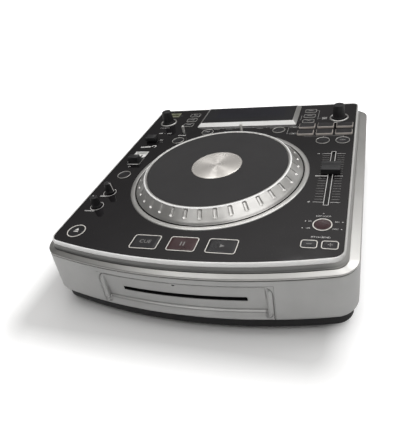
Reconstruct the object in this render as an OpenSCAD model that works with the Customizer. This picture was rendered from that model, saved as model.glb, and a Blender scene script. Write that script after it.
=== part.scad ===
// Tabletop disc player for DJ use: a silver case with a glossy black deck, a jog wheel,
// a pitch fader, dials, keys and a front slot for discs.
// X runs to the right, Y to the back and Z up. The origin is under the middle of the case.
// Places on the deck are given as [x from the middle, y from the front edge of the deck].

/* [Case] */
// Width over the side walls
body_w = 324; // [314:1:334]
// Height of the deck's top face above the table
deck_z = 84; // [82:1:96]
// Height of the silver case's lower edge
body_z = 20.5; // [19:0.5:24]
// Distance of the seam below the deck
seam_drop = 15.5; // [14:0.5:17]
// Distance of the shoulder's upper edge below the deck
shoulder_drop = 10; // [8:0.5:11]
// How far the foot of the front wall stands in front of the deck
chin = 12; // [10:0.5:15]
// How far the seam stands in front of the deck
seam_step = 8; // [6:0.5:9]
// How far the shoulder's upper edge stands outside the deck
shoulder_step = 3; // [2.8:0.1:4]
// How far the back wall stands behind the deck
back_step = 7; // [6:0.5:9]
// Thickness of the case walls
wall = 2.5; // [2:0.1:3]
// Corner radius of the silver case in plan
body_corner_r = 24; // [20:1:28]
// How far the rounded lower edge draws in
foot_round = 2.5; // [1.5:0.1:4]
// Gap between parts that drop into each other
fit_gap = 0.2; // [0.1:0.05:0.3]

/* [Tray] */
// Height of the tray's underside
tray_z = 8; // [6:0.5:10]
// Thickness of the tray's floor
tray_t = 3; // [2:0.25:4]
// How far the tray's wall stands inside the silver case
tray_inset = 4.5; // [4:0.1:5]
// Radius of a rubber foot
foot_r = 14; // [10:0.5:18]
// Radius of a screw tower
tower_r = 5; // [4.5:0.1:5]
// Radius of the case screws' shanks
screw_r = 1.5; // [1.2:0.1:2]
// Radius of the case screws' heads
screw_head_r = 3; // [2.6:0.1:3.4]
// Length of the case screws' shanks
screw_l = 18; // [14:1:20]

/* [Deck] */
// Width of the deck panel
deck_w = 296.4; // [290:0.2:300]
// Depth of the deck panel along its middle
deck_d = 338; // [334:1:342]
// Radius of the bowed front edge
front_r = 582; // [500:10:700]
// Corner radius of the deck panel at the front
deck_corner_r = 11; // [8:0.5:14]
// How much smaller the radii of the corners at the back are
back_tight = 5; // [0:0.5:5]
// Thickness of the deck panel
panel_t = 2; // [1.6:0.1:2.4]
// Width of the bright rim round the panel
rim_w = 2.3; // [2:0.1:2.6]
// Height of the bright rim
rim_h = 5; // [4:0.25:5.5]
// How far the rim stands above the panel
rim_proud = 0.4; // [0.2:0.1:0.8]
// Width of the ledge that carries the panel
ledge_w = 7; // [5:0.5:9]
// Thickness of the ledge
ledge_t = 2.5; // [2:0.25:3]

/* [Jog wheel] */
// Place of the wheel on the deck
jog_at = [0, 147.7]; // [0:0.1:200]
// Radius of the wheel's foot
jog_r = 98.6; // [92:0.2:100]
// How far the wheel's upper lip draws in from its foot
jog_lip_in = 12.6; // [10:0.2:15]
// Width of the lip round the slipmat
jog_lip_w = 4; // [3:0.2:6]
// Thickness of the slipmat
slipmat_t = 1.2; // [0.8:0.1:2]
// Radius of the metal centre cap
centre_cap_r = 29.5; // [24:0.5:34]
// Height of the slipmat's top above the deck
jog_h = 13.4; // [12:0.2:16]
// Gap under the wheel
jog_gap = 0.8; // [0.5:0.1:1.2]
// Height of the plain band at the wheel's foot
jog_band_h = 3.6; // [2.5:0.1:4]
// How far the plain band draws in
jog_band_in = 3.5; // [2:0.1:5]
// Number of grip flutes
flutes = 36; // [24:1:48]
// Radius of a grip flute
flute_r = 2.6; // [1.8:0.1:3]
// Depth of a grip flute
flute_deep = 1.3; // [0.6:0.1:1.6]
// Gap between the wheel's foot and the fixed ring round it
ring_gap = 0.6; // [0.4:0.1:2]
// Width of the fixed ring
ring_w = 5.5; // [3:0.5:7]
// Thickness of the fixed ring
ring_t = 1; // [0.6:0.1:1.4]
// Radius of the wheel's shaft
jog_shaft_r = 4; // [3:0.25:5]
// Length of the wheel's shaft below the deck
jog_shaft_l = 20; // [14:1:22]
// Outer radius of the wheel's bearing
jog_bush_r = 9; // [7:0.5:10]
// Radius of the bearing's flange
jog_flange_r = 38; // [25:1:40]
// Radial clearance of every shaft in its bore
shaft_fit = 0.05; // [0.02:0.01:0.09]

/* [Keys] */
// Travel of every key
key_travel = 0.8; // [0.4:0.1:1]
// Gap round every key
key_gap = 0.3; // [0.2:0.05:0.5]
// How far a flat key stands above the deck
key_proud = 0.5; // [0.3:0.1:1]
// How far a pad stands above the deck
pad_proud = 2.2; // [1.2:0.1:3]
// Width of the flange that holds a key under the deck
key_flange = 1.2; // [0.8:0.1:1.4]
// Thickness of that flange
key_flange_t = 1; // [0.6:0.1:1.2]
// Corner radius of the square keys
key_corner_r = 2; // [1:0.25:3]
// Size of the cue, pause and play keys
main_key = [27, 18]; // [14:0.5:30]
// Place of the pause key, between cue and play
pause_at = [0.2, 22.8]; // [0:0.1:60]
// Spacing of the cue, pause and play keys
main_key_pitch = 39.5; // [34:0.5:42]
// Size of the pitch bend keys
bend_key = [12.6, 8.8]; // [8:0.2:14]
// Place of the two pitch bend keys' middle
bend_at = [127.1, 32.6]; // [20:0.1:130]
// Spacing of the pitch bend keys
bend_pitch = 18.2; // [16.4:0.2:20]
// Radius of the eject key
eject_r = 8.8; // [7:0.2:10]
// Place of the eject key
eject_at = [-125.7, 33.4]; // [-130:0.1:60]
// Radius of the key lock key
lock_r = 7.8; // [6:0.2:9]
// Place of the key lock key
lock_at = [127.1, 61]; // [50:0.1:130]
// Radius of the four small round keys
round_r = 7.4; // [6:0.2:8.5]
// Radius of the two round keys at the left
round_left_r = 7.4; // [6:0.2:9.5]
// Size of a pad
pad_size = [20.6, 12.6]; // [10:0.2:22]
// Place of the pads' middle
pads_at = [111.7, 259.7]; // [100:0.1:262]
// Spacing of the pads along X and Y
pad_pitch = [23.9, 19.3]; // [17:0.1:25]
// Size of a mode key beside the display
mode_key = [14, 8.6]; // [7:0.2:16]
// Distance of the mode keys from the middle
mode_x = 87.2; // [84:0.2:92]
// Place of the middle mode keys
mode_y = 302.2; // [298:0.2:306]
// Spacing of the mode keys
mode_pitch = 16.4; // [13:0.1:17]

/* [Dials and levers] */
// Radius of a dial at its foot
dial_r = 8.4; // [7:0.2:11]
// Radius of a dial at its top
dial_top_r = 6.8; // [5:0.2:9]
// Height of a dial above the deck
dial_h = 18.5; // [14:0.5:24]
// Place of the left dial
left_dial_at = [-122.6, 295.4]; // [-126:0.1:300]
// Place of the right dial
right_dial_at = [126.8, 294.2]; // [100:0.1:300]
// Radius of a knob at its foot
knob_r = 5.6; // [4:0.2:7]
// Radius of a knob at its top
knob_top_r = 4.2; // [3.4:0.1:6]
// Height of a knob above the deck
knob_h = 13; // [10:0.5:18]
// Place of the rear knob
rear_knob_at = [-124, 107.7]; // [-130:0.1:120]
// Place of the front knob
front_knob_at = [-126, 78.6]; // [-130:0.1:100]
// Gap under every dial and knob
dial_gap = 0.6; // [0.4:0.1:1]
// Radius of the dials' and knobs' shafts
dial_shaft_r = 3; // [2.5:0.1:3.2]
// Where the rear knob points, turned from straight back
rear_knob_turn = -100; // [-150:5:150]
// Where the front knob points, turned from straight back
front_knob_turn = 35; // [-150:5:150]
// Place of the pitch fader's slot
fader_at = [127.2, 146.5]; // [100:0.1:160]
// Travel of the pitch fader
fader_travel = 100; // [60:1:100]
// Size of the pitch fader's cap
fader_cap = [20.5, 14, 9.5]; // [8:0.5:22]
// Where the fader stands, measured from its middle
fader_stand = 9.6; // [-10:0.5:30]
// Width of the fader's slot
fader_slot_w = 2.6; // [2.2:0.1:3]
// Thickness of the fader's stem
fader_stem_t = 1.8; // [1.2:0.1:2]
// Depth of the fader's stem along its slot
fader_stem_d = 6; // [4:0.5:7]
// Gap between the fader's stem and each end of its slot
fader_end_gap = 0.4; // [0.3:0.1:1]
// Size of the slide switch's window
slide_window = [19, 33]; // [18:0.5:40]
// Place of the slide switch's window
slide_at = [-126, 189.4]; // [-130:0.1:200]
// Size of the slide switch's cap
slide_cap = [14, 11, 8]; // [6:0.5:18]
// Depth of the slide switch's window
slide_deep = 3; // [2:0.25:4]
// Size of the reverse paddle
paddle_size = [14.5, 11, 7.5]; // [5:0.5:18]
// Place of the reverse paddle
paddle_at = [-125.5, 237.2]; // [-130:0.1:242]
// Tilt of the reverse paddle to each side
paddle_tilt = 9; // [4:0.5:10]
// Height of a lever above the deck
lever_h = 12; // [8:0.5:16]
// Radius of a lever at its tip
lever_r = 2; // [1.5:0.1:2.2]
// Radius of a lever's ball
lever_ball_r = 2.6; // [2.2:0.1:2.8]
// Place of the left lever
left_lever_at = [-84, 258.2]; // [-90:0.1:262]
// Distance of the centre lever from the middle
centre_lever_x = 1.2; // [-4:0.1:4]
// Distance of the centre lever behind the wheel's fixed ring
centre_lever_gap = 5.4; // [4.5:0.1:8]

/* [Display] */
// Size of the display's foot on the deck
display_size = [142, 58.5]; // [50:0.5:144]
// Place of the display's middle
display_at = [1.2, 304.8]; // [0:0.1:306]
// Height of the display
display_h = 4.8; // [4.2:0.1:6]
// Width of the display's sloped edge
display_bevel = 4.5; // [3:0.25:6]
// Thickness of the display's glass
display_glass_t = 1.2; // [0.8:0.1:1.6]
// Size of the liquid crystal panel
lcd_size = [98, 31]; // [26:0.5:110]
// Size of the USB socket's trim plate
usb_plate = [17, 14]; // [12:0.5:26]
// Place of the USB socket
usb_at = [-122.5, 322]; // [-124:0.1:324]

/* [Disc slot] */
// Width of the disc slot
slot_w = 127; // [122:1:130]
// Distance of the slot's middle from the middle of the case
slot_x = 2; // [-1:0.5:2]
// Height of the disc slot
slot_h = 4.4; // [4.3:0.1:5]
// Height of the slot's middle above the table
slot_z = 45.9; // [45:0.2:48]
// Width of the slot's bezel
bezel_w = 181; // [160:1:186]
// Distance of the bezel's top below the deck
bezel_drop = 21.5; // [19:0.5:24]
// How far the bezel's face is set back
bezel_deep = 1.6; // [0.8:0.1:2]
// Width of the bezel's raised ribs
bezel_rib_w = 8; // [5:0.5:10]
// Height of the bezel's lower lip
bezel_lip_h = 11; // [8:0.5:12]

/* [Drive] */
// Distance of the disc spindle behind the deck's front edge
spindle_y = 72; // [70:0.5:80]
// Width between the drive's side plates
drive_w = 148; // [140:1:150]
// Thickness of the drive's plates
drive_t = 2; // [1.5:0.1:2.5]
// Depth of the drive
drive_d = 186; // [170:1:190]
// Height of the drive's floor above the tray
drive_leg = 17; // [15:0.5:18]
// Radius of the feed roller
roller_r = 4; // [3:0.1:4.2]
// Radius of the feed roller's shaft
roller_shaft_r = 1.5; // [1:0.1:2]
// Radius of the turntable that carries the disc
turntable_r = 15; // [12:0.5:16]
// Radius of the spindle motor
motor_r = 13; // [10:0.5:13]
// Radius of the spindle shaft
spindle_r = 1.2; // [0.8:0.1:1.6]
// Radius of the sled's guide rods
rod_r = 1.5; // [1:0.1:1.8]
// Spacing of the guide rods
rod_pitch = 44; // [38:1:46]
// Travel of the laser sled
sled_travel = 33; // [24:1:34]

/* [Boards] */
// Thickness of the circuit boards
board_t = 1.6; // [1:0.1:2]
// Height of the key board's top below the deck
board_drop = 9.4; // [9:0.1:9.6]
// Size of the main board
main_board_size = [220, 96]; // [90:1:230]
// Height of the main board's posts
post_h = 6; // [4:0.5:8]

/* [Rear panel] */
// Size of the rear recess
rear_size = [240, 28]; // [26:1:250]
// Depth of the rear recess
rear_deep = 12; // [10:0.5:13]
// Height of the recess's middle above the table
rear_z = 44; // [40:0.5:46]
// Distance of the mains inlet from the middle
inlet_x = -95; // [-100:1:-85]
// Distance of the power switch from the middle
rocker_x = -62; // [-66:1:-58]
// Turn of the power switch between on and off
rocker_turn = 16; // [8:1:18]

/* [Hidden] */

// Facets of a corner or a small round, and of the long bowed front
$fn = 48;
BOW_FN = 360;
BOW_STEPS = 32;
CORNER_STEPS = 10;
// Overshoot of a cut past the face that it opens
CUT = 1;
// Thickness of the slices that a sloped wall is stretched between
SLICE = 0.1;

// Plan of the case
body_d = chin + deck_d + back_step;
deck_front = chin - body_d / 2;
deck_back = deck_front + deck_d;
body_back = deck_back + back_step;
side_step = (body_w - deck_w) / 2;
arc_y = deck_front + front_r;

// Levels
seam_z = deck_z - seam_drop;
shoulder_z = deck_z - shoulder_drop;
foot_top_z = body_z + 1.9 * foot_round;
panel_z = deck_z - panel_t;
rim_z = deck_z - rim_h;
tray_floor = tray_z + tray_t;
drive_floor = tray_floor + drive_leg;
board_top = deck_z - board_drop;
board_low = board_top - board_t;
board_in = 8;
bezel_z = deck_z - bezel_drop;
groove = 0.6;

// Case screws and feet: [x, y] on the deck's own grid
SCREW_X = body_w / 2 - wall - tray_inset - tower_r + 1;
SCREW_Y = [50, 170, 300];
SHELL_BOSS_H = screw_l + 2;
FLANGE_W = 2 * tower_r + 4;
FEET = [[-118, 42], [118, 42], [-118, 300], [118, 300]];

// Keys: [place, size or radius, height above the deck]
ROUND_AT = [[111.6, 228.8], [135.4, 228.9], [51.4, 261], [-49.1, 260], [-85.2, 236.5], [-124.8, 146.2]];
ROUND_R = [round_r, round_r, round_r, round_r, round_left_r, round_left_r];
cue_at = pause_at - [main_key_pitch, 0];
play_at = pause_at + [main_key_pitch, 0];
bend_down_at = bend_at - [bend_pitch / 2, 0];
bend_up_at = bend_at + [bend_pitch / 2, 0];
PAD_AT = [for (j = [0, 1]) for (i = [-1, 0, 1])
    pads_at + [i * pad_pitch[0], (0.5 - j) * pad_pitch[1]]];
MODE_AT = [for (s = [-1, 1]) for (i = [1, 0, -1]) [s * mode_x, mode_y + i * mode_pitch]];
MAIN_AT = [cue_at, pause_at, play_at];
BEND_AT = [bend_down_at, bend_up_at];
ALL_KEYS = concat(MAIN_AT, BEND_AT, [eject_at, lock_at], ROUND_AT, PAD_AT, MODE_AT);

// Tact switches under the keys
switch_w = 6;
switch_body_h = 3.4;
switch_h = 4.4;
switch_pin_r = 1.7;
switch_slack = 0.15;
key_foot_z = board_top + switch_h + switch_slack + key_travel;
key_foot_r = 2.5;
key_flange_top = panel_z - fit_gap;

// Dials, knobs and levers
DIAL_AT = [left_dial_at, right_dial_at, rear_knob_at, front_knob_at];
pot_w = 12;
pot_h = panel_z - board_top - 0.4;
pot_neck_r = 4.2;
pot_neck_gap = 0.3;
lever_pivot_z = panel_z - 2.5;
lever_neck_r = 1.4;
lever_hole_r = 3.8;
lever_box = 10;
centre_lever_at = [centre_lever_x, jog_at[1] + jog_r + ring_gap + ring_w + centre_lever_gap];
LEVER_AT = [left_lever_at, centre_lever_at];

// Middle of the liquid crystal panel behind the display's middle
lcd_shift = 5.2;

// Pitch fader and slide switch
fader_slot_l = fader_travel + fader_stem_d + 2 * fader_end_gap;
fader_box = [12, 8];
fader_floor = 1.4;
fader_cap_gap = 0.8;
slide_wall = 1.2;
slide_floor_t = 1.2;
slide_stem = [1.8, 6];
slide_end_gap = 0.6;
slide_travel = slide_window[1] - 2 * slide_wall - slide_cap[1] - 2 * slide_end_gap;
slide_cap_y = slide_at[1] - slide_travel / 2;
slide_floor_z = deck_z - slide_deep;

// Reverse paddle
paddle_pivot_z = panel_z - 2;
paddle_neck = [11, 7];
paddle_hole = [13, 10.4];
paddle_lift = 1.3;
paddle_pin_r = 1;
paddle_ear = 2;
paddle_ear_gap = 0.4;

// Jog wheel
jog_z = deck_z + jog_gap;
jog_lip_r = jog_r - jog_lip_in;
slipmat_r = jog_lip_r - jog_lip_w;
ring_in_r = jog_r + ring_gap;
ring_out_r = ring_in_r + ring_w;
jog_top = deck_z + jog_h;
lip_proud = 0.3;
jog_band_z = jog_z + jog_band_h;
jog_band_r = jog_r - jog_band_in;
bush_top = deck_z + jog_gap - fit_gap;
bush_low = deck_z - jog_shaft_l;
jog_hole_r = jog_bush_r + 0.3;

// Drive
roller_y = 22;
disc_gap = 0.2;
slot_low = slot_z - slot_h / 2;
roller_z = slot_low - disc_gap - roller_r;
roller_l = drive_w - 24;
roller_hub_r = roller_r - 1.2;
turntable_top = slot_low - disc_gap;
turntable_t = 2.8;
drive_wall_h = 28;
drive_y = 14;
rod_z = drive_floor + drive_t + 7;
rod_y0 = spindle_y + turntable_r + 1;
rod_block_t = 3;
sled_size = [54, 24, 7];
sled_y = rod_y0 + rod_block_t + sled_size[1] / 2 + 0.5;
rod_l = sled_size[1] + sled_travel + 2 * rod_block_t + 1;
motor_h = turntable_top - turntable_t - 1 - drive_floor - drive_t;

// Rear sockets
rear_wall = 2;
RCA_X = [42, 60];
COAX_X = 84;
JACK_X = [100, 109];
USB_B_X = 14;
rca_r = 4.1;
jack_r = 3;
socket_box_d = 14;
inlet_size = [27, 19.6];
inlet_hole = [22.6, 15.4];
inlet_deep = 14;
rocker_size = [12, 5, 15];
rocker_box = [17, 14, 20];
rocker_wall = 1.5;
rocker_pin_r = 1;

// Main board and supply
main_board_y = deck_d - 66;
supply_size = [70, 46, 22];

SILVER = "#a3a3a1";
BRIGHT = "#c9c9c6";
BLACK = "#1b1b1d";
DARK = "#2b2b2d";

// ---------- helpers ----------

// Outline of the case, grown past the deck panel by so much at the front, sides and back
module plan(front, side, back, r) {
    half = deck_w / 2 + side;
    arc_r = front_r + front;
    cx = half - r;
    cy = arc_y - sqrt((arc_r - r) ^ 2 - cx ^ 2);
    far_y = deck_back + back;
    far_r = r - back_tight;
    far_x = half - far_r;
    low_y = arc_y - arc_r - CUT;
    spread = cx / (arc_y - cy);
    intersection() {
        translate([0, arc_y]) circle(arc_r, $fn = BOW_FN);
        polygon([[0, arc_y], [-spread * (arc_r + CUT), low_y], [spread * (arc_r + CUT), low_y]]);
        translate([-half, low_y]) square([2 * half, cy + CUT - low_y]);
    }
    for (s = [-1, 1]) {
        translate([s * cx, cy]) circle(r);
        translate([s * far_x, far_y - far_r]) circle(far_r);
    }
    translate([-half, cy]) square([2 * half, far_y - far_r - cy]);
    translate([-far_x, far_y - 2 * far_r]) square([2 * far_x, 2 * far_r]);
}

// Solid with the outline of the case between two heights
module plan_block(z0, z1, front, side, back, r)
    translate([0, 0, z0]) linear_extrude(z1 - z0) plan(front, side, back, r);

// Points along an arc between two angles, without the first one
function arc_points(c, r, a0, a1, n) =
    [for (i = [1 : n]) c + r * [cos(a0 + (a1 - a0) * i / n), sin(a0 + (a1 - a0) * i / n)]];

// Points of the same outline at a height, for sloped walls
function ring(z, front, side, back, r) =
    let (cx = deck_w / 2 + side - r, arc_r = front_r + front, far_r = r - back_tight,
        far_x = cx + back_tight, far_y = deck_back + back - far_r,
        cy = arc_y - sqrt((arc_r - r) ^ 2 - cx ^ 2), spread = atan2(cx, arc_y - cy))
    [for (p = concat(
        arc_points([0, arc_y], arc_r, 270 - spread, 270 + spread, BOW_STEPS),
        arc_points([cx, cy], r, 270 + spread, 360, CORNER_STEPS),
        [[cx + r, far_y]],
        arc_points([far_x, far_y], far_r, 0, 90, CORNER_STEPS),
        [[-far_x, far_y + far_r]],
        arc_points([-far_x, far_y], far_r, 90, 180, CORNER_STEPS),
        [[-cx - r, cy]],
        arc_points([-cx, cy], r, 180, 270 - spread, CORNER_STEPS))) [p[0], p[1], z]];

// The same grown by one amount all round
function even_ring(z, grow) = ring(z, grow, grow, grow, deck_corner_r + grow);

// Solid skinned over rings that lie one above the other
module loft(rings) {
    n = len(rings[0]);
    top = (len(rings) - 1) * n;
    polyhedron(points = [for (r = rings) each r], faces = concat(
        [[for (i = [0 : n - 1]) i], [for (i = [n - 1 : -1 : 0]) top + i]],
        [for (low = [0 : n : top - n], i = [0 : n - 1]) [low + i, low + n + i, low + n + (i + 1) % n]],
        [for (low = [0 : n : top - n], i = [0 : n - 1])
            [low + i, low + n + (i + 1) % n, low + (i + 1) % n]]));
}

// How far the front wall stands in front of the deck at a height
function front_at(z) =
    min(chin, seam_step + (chin - seam_step) * (seam_z - z) / (seam_z - foot_top_z));

// Ring of the silver case at a height, set in from its outer face
function body_ring(z, inset) =
    ring(z, front_at(z) - inset, side_step - inset, back_step - inset, body_corner_r - inset);

// Silver case as one solid, with its rounded lower edge
module body_outer() {
    loft([body_ring(body_z, foot_round), body_ring(body_z + 0.1 * foot_round, 0.7 * foot_round),
        body_ring(body_z + 0.3 * foot_round, 0.45 * foot_round),
        body_ring(body_z + 0.65 * foot_round, 0.22 * foot_round),
        body_ring(body_z + 1.2 * foot_round, 0.06 * foot_round), body_ring(foot_top_z, 0),
        body_ring(seam_z, 0)]);
}

// Silver case set in from its outer face, between two heights
module body_core(inset, z0, z1) {
    loft([body_ring(z0, inset), body_ring(z1, inset)]);
}

// Place on the deck
module on_deck(at, z = 0) translate([at[0], deck_front + at[1], z]) children();

// Rectangle with rounded corners, centred
module round_rect(size, r) {
    square([size[0] - 2 * r, size[1]], center = true);
    square([size[0], size[1] - 2 * r], center = true);
    for (sx = [-1, 1], sy = [-1, 1])
        translate([sx * (size[0] / 2 - r), sy * (size[1] / 2 - r)]) circle(r);
}

// Block centred in plan that stands on its lower face
module block(size) translate([-size[0] / 2, -size[1] / 2, 0]) cube(size);

// ---------- case ----------

module tower_places() {
    for (s = [-1, 1], y = SCREW_Y) on_deck([s * SCREW_X, y]) children();
}

module base_tray() {
    color(BLACK) difference() {
        union() {
            difference() {
                plan_block(tray_z, body_z, chin - tray_inset, side_step - tray_inset,
                    back_step - tray_inset, body_corner_r - tray_inset);
                plan_block(tray_floor, body_z + CUT, chin - tray_inset - wall,
                    side_step - tray_inset - wall, back_step - tray_inset - wall,
                    body_corner_r - tray_inset - wall);
            }
            tower_places() translate([0, 0, tray_z]) cylinder(h = body_z - tray_z, r = tower_r);
        }
        tower_places() {
            translate([0, 0, tray_z - CUT])
                cylinder(h = body_z - 4 - tray_z + CUT, r = screw_head_r + fit_gap);
            translate([0, 0, tray_z]) cylinder(h = body_z, r = screw_r + fit_gap);
        }
        // Air slots under the boards
        for (i = [-4 : 4]) on_deck([i * 12, deck_d - 60], tray_z - CUT)
            block([3, 40, tray_t + 2 * CUT]);
    }
}

module rubber_feet() {
    color(DARK) for (at = FEET) on_deck(at)
        rotate_extrude() polygon([[0, 1], [foot_r / 3, 1], [foot_r / 3 + 1, 0], [foot_r - 1.5, 0],
            [foot_r, 1.5], [foot_r - 0.5, tray_z], [0, tray_z]]);
}

module case_screws() {
    head_z = body_z - 4;
    color("silver") tower_places() {
        translate([0, 0, head_z - 2]) cylinder(h = 2, r = screw_head_r);
        translate([0, 0, head_z]) cylinder(h = screw_l, r = screw_r);
    }
}

module bezel_cut(gap) {
    translate([-bezel_w / 2 - gap, deck_front - 2 * chin, body_z - CUT])
        cube([bezel_w + 2 * gap, 3 * chin + front_r - sqrt(front_r ^ 2 - (bezel_w / 2) ^ 2),
            bezel_z + gap - body_z + CUT]);
}

module body_shell() {
    inner = FLANGE_W + wall;
    color(SILVER) difference() {
        union() {
            difference() {
                body_outer();
                body_core(wall, body_z + wall, seam_z + CUT);
                plan_block(body_z - CUT, body_z + 2 * wall, chin - inner, side_step - inner,
                    back_step - inner, body_corner_r - inner / 2);
            }
            tower_places() translate([0, 0, body_z]) cylinder(h = SHELL_BOSS_H, r = tower_r);
        }
        bezel_cut(fit_gap);
        tower_places() translate([0, 0, body_z - CUT])
            cylinder(h = SHELL_BOSS_H, r = screw_r + shaft_fit);
        translate([-rear_size[0] / 2, body_back - rear_deep, rear_z - rear_size[1] / 2])
            cube([rear_size[0], rear_deep + CUT, rear_size[1]]);
    }
}

module top_cover() {
    lap = wall + fit_gap;
    room = lap + wall + 0.4;
    notch = 2 * (key_gap + key_flange + 0.3);
    color(BRIGHT) difference() {
        union() {
            // Sloped shoulder, upright wall, groove and rounded bright rim
            loft([ring(seam_z, seam_step, side_step, back_step, body_corner_r),
                ring(seam_z + 1.5, seam_step, side_step, back_step, body_corner_r),
                ring(shoulder_z - 0.8, shoulder_step + 0.8, shoulder_step + 1.8, shoulder_step + 0.8,
                    deck_corner_r + 4),
                ring(shoulder_z, shoulder_step, shoulder_step + 1, shoulder_step, deck_corner_r + 3),
                even_ring(rim_z - groove, rim_w),
                even_ring(rim_z - 0.8 * groove, rim_w - groove),
                even_ring(rim_z - 0.2 * groove, rim_w - groove),
                even_ring(rim_z, 0.75 * rim_w),
                even_ring(rim_z + 0.12 * rim_h, 0.95 * rim_w),
                even_ring(rim_z + 0.3 * rim_h, rim_w),
                even_ring(rim_z + 0.7 * rim_h, rim_w),
                even_ring(rim_z + 0.88 * rim_h, 0.9 * rim_w),
                even_ring(deck_z, 0.65 * rim_w),
                even_ring(deck_z + rim_proud, 0.3 * rim_w)]);
            // Tongue that drops into the silver case
            plan_block(seam_z - wall, seam_z + wall, seam_step - lap, side_step - lap,
                back_step - lap, body_corner_r - lap);
        }
        // Seat of the deck panel
        plan_block(panel_z, deck_z + CUT, 0, 0, 0, deck_corner_r);
        plan_block(panel_z - ledge_t - CUT, panel_z + CUT, -ledge_w, -ledge_w, -ledge_w,
            deck_corner_r);
        // Room inside
        plan_block(seam_z - wall - CUT, seam_z, seam_step - lap - wall,
            side_step - lap - wall, back_step - lap - wall, body_corner_r - lap - wall);
        loft([ring(seam_z - 1, seam_step - room, side_step - room, back_step - room,
                body_corner_r - room),
            even_ring(shoulder_z - wall, shoulder_step - wall)]);
        plan_block(shoulder_z - wall, panel_z - ledge_t, shoulder_step - wall - 0.6,
            shoulder_step - wall - 0.6, shoulder_step - wall - 0.6, deck_corner_r);
        // Notches in the ledge for the keys next to it
        for (i = [2, 5]) on_deck(PAD_AT[i], panel_z - ledge_t - CUT)
            block([pad_size[0] + notch, pad_size[1] + notch, ledge_t + 2 * CUT]);
        on_deck(bend_up_at, panel_z - ledge_t - CUT)
            block([bend_key[0] + notch, bend_key[1] + notch, ledge_t + 2 * CUT]);
        on_deck(ROUND_AT[1], panel_z - ledge_t - CUT)
            cylinder(h = ledge_t + 2 * CUT, r = ROUND_R[1] + notch / 2);
    }
}

module slot_bezel() {
    color(SILVER) difference() {
        intersection() {
            union() {
                body_core(bezel_deep, body_z + foot_round, bezel_z);
                intersection() {
                    body_outer();
                    union() {
                        for (s = [-1, 1]) translate([s * (bezel_w - bezel_rib_w) / 2, deck_front, body_z])
                            block([bezel_rib_w, 4 * chin, bezel_z - body_z]);
                        translate([0, deck_front, body_z]) block([bezel_w, 4 * chin, bezel_lip_h]);
                    }
                }
            }
            bezel_cut(-fit_gap);
        }
        body_core(bezel_deep + wall, body_z + wall, bezel_z + CUT);
        plan_block(body_z - CUT, body_z + 2 * wall, chin - FLANGE_W, side_step, back_step,
            body_corner_r);
        translate([slot_x, deck_front, slot_low]) block([slot_w, 4 * chin, slot_h]);
        on_deck([-4, 0], bezel_z - 3.5) rotate([90, 0, 0]) cylinder(h = 2 * chin, r = 0.8);
    }
}

module rear_panel() {
    size = [rear_size[0] - 2 * fit_gap, rear_deep, rear_size[1] - 2 * fit_gap];
    plate_y = body_back - rear_deep;
    color(DARK) difference() {
        translate([0, plate_y + rear_deep / 2, rear_z - size[2] / 2]) block(size);
        translate([0, body_back, rear_z - size[2] / 2 + rear_wall])
            block([size[0] - 2 * rear_wall, 2 * (rear_deep - rear_wall), size[2] - 2 * rear_wall]);
        for (x = concat(RCA_X, [COAX_X])) translate([x, plate_y - CUT, rear_z]) rotate([-90, 0, 0])
            cylinder(h = rear_deep, r = rca_r + fit_gap);
        for (x = JACK_X) translate([x, plate_y - CUT, rear_z]) rotate([-90, 0, 0])
            cylinder(h = rear_deep, r = jack_r + fit_gap);
        translate([USB_B_X, plate_y, rear_z - 6]) block([12.4, 2 * rear_deep, 11.4]);
        translate([inlet_x, plate_y, rear_z - inlet_size[1] / 2 - fit_gap])
            block([inlet_size[0] + 2 * fit_gap, 2 * rear_deep, inlet_size[1] + 2 * fit_gap]);
        translate([rocker_x, plate_y, rear_z - rocker_box[2] / 2 - fit_gap])
            block([rocker_box[0] + 2 * fit_gap, 2 * rear_deep, rocker_box[2] + 2 * fit_gap]);
    }
}

// Round socket that sticks out through the rear panel, with its block inside
module round_socket(x, r, hole_r) {
    plate_y = body_back - rear_deep;
    translate([x, plate_y, rear_z]) difference() {
        union() {
            rotate([-90, 0, 0]) cylinder(h = rear_deep - 2, r = r);
            translate([0, -socket_box_d / 2 - fit_gap, -r - 1.5])
                block([2 * r + 0.6, socket_box_d, 2 * r + 3]);
            translate([0, -fit_gap - 0.5, 0]) rotate([-90, 0, 0]) cylinder(h = 1, r = r);
        }
        rotate([-90, 0, 0]) cylinder(h = rear_deep, r = hole_r);
    }
}

module rear_sockets() {
    plate_y = body_back - rear_deep;
    color("gainsboro") {
        for (x = RCA_X) round_socket(x, rca_r, 1.7);
        round_socket(COAX_X, rca_r, 1.7);
        for (x = JACK_X) round_socket(x, jack_r, 1.75);
        // Square data socket
        translate([USB_B_X, plate_y - 6, rear_z - 5.8]) difference() {
            block([12, 16, 11]);
            translate([0, 5, 1.2]) block([9.6, 16, 8.6]);
        }
        // Housing of the power switch
        translate([rocker_x, plate_y - rocker_box[1] / 2 + 4, rear_z - rocker_box[2] / 2])
            difference() {
                block(rocker_box);
                translate([0, rocker_wall, rocker_wall])
                    block([rocker_box[0] - 2 * rocker_wall, rocker_box[1], rocker_box[2] - 2 * rocker_wall]);
                translate([-rocker_box[0], 2.5, rocker_box[2] / 2]) rotate([0, 90, 0])
                    cylinder(h = 2 * rocker_box[0], r = rocker_pin_r + shaft_fit);
            }
    }
}

module power_inlet() {
    plate_y = body_back - rear_deep;
    color(BLACK) translate([inlet_x, plate_y + 2, rear_z - inlet_size[1] / 2]) {
        difference() {
            translate([0, -inlet_deep / 2, 0]) block([inlet_size[0], inlet_deep + 2, inlet_size[1]]);
            translate([0, -inlet_deep / 2 + 3, (inlet_size[1] - inlet_hole[1]) / 2])
                block([inlet_hole[0], inlet_deep + 2, inlet_hole[1]]);
        }
        for (i = [-1, 0, 1]) translate([i * 7, -inlet_deep + 4.3, inlet_size[1] / 2 - 3 + 2 * abs(i)])
            block([2, 9, 4]);
    }
}

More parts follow.
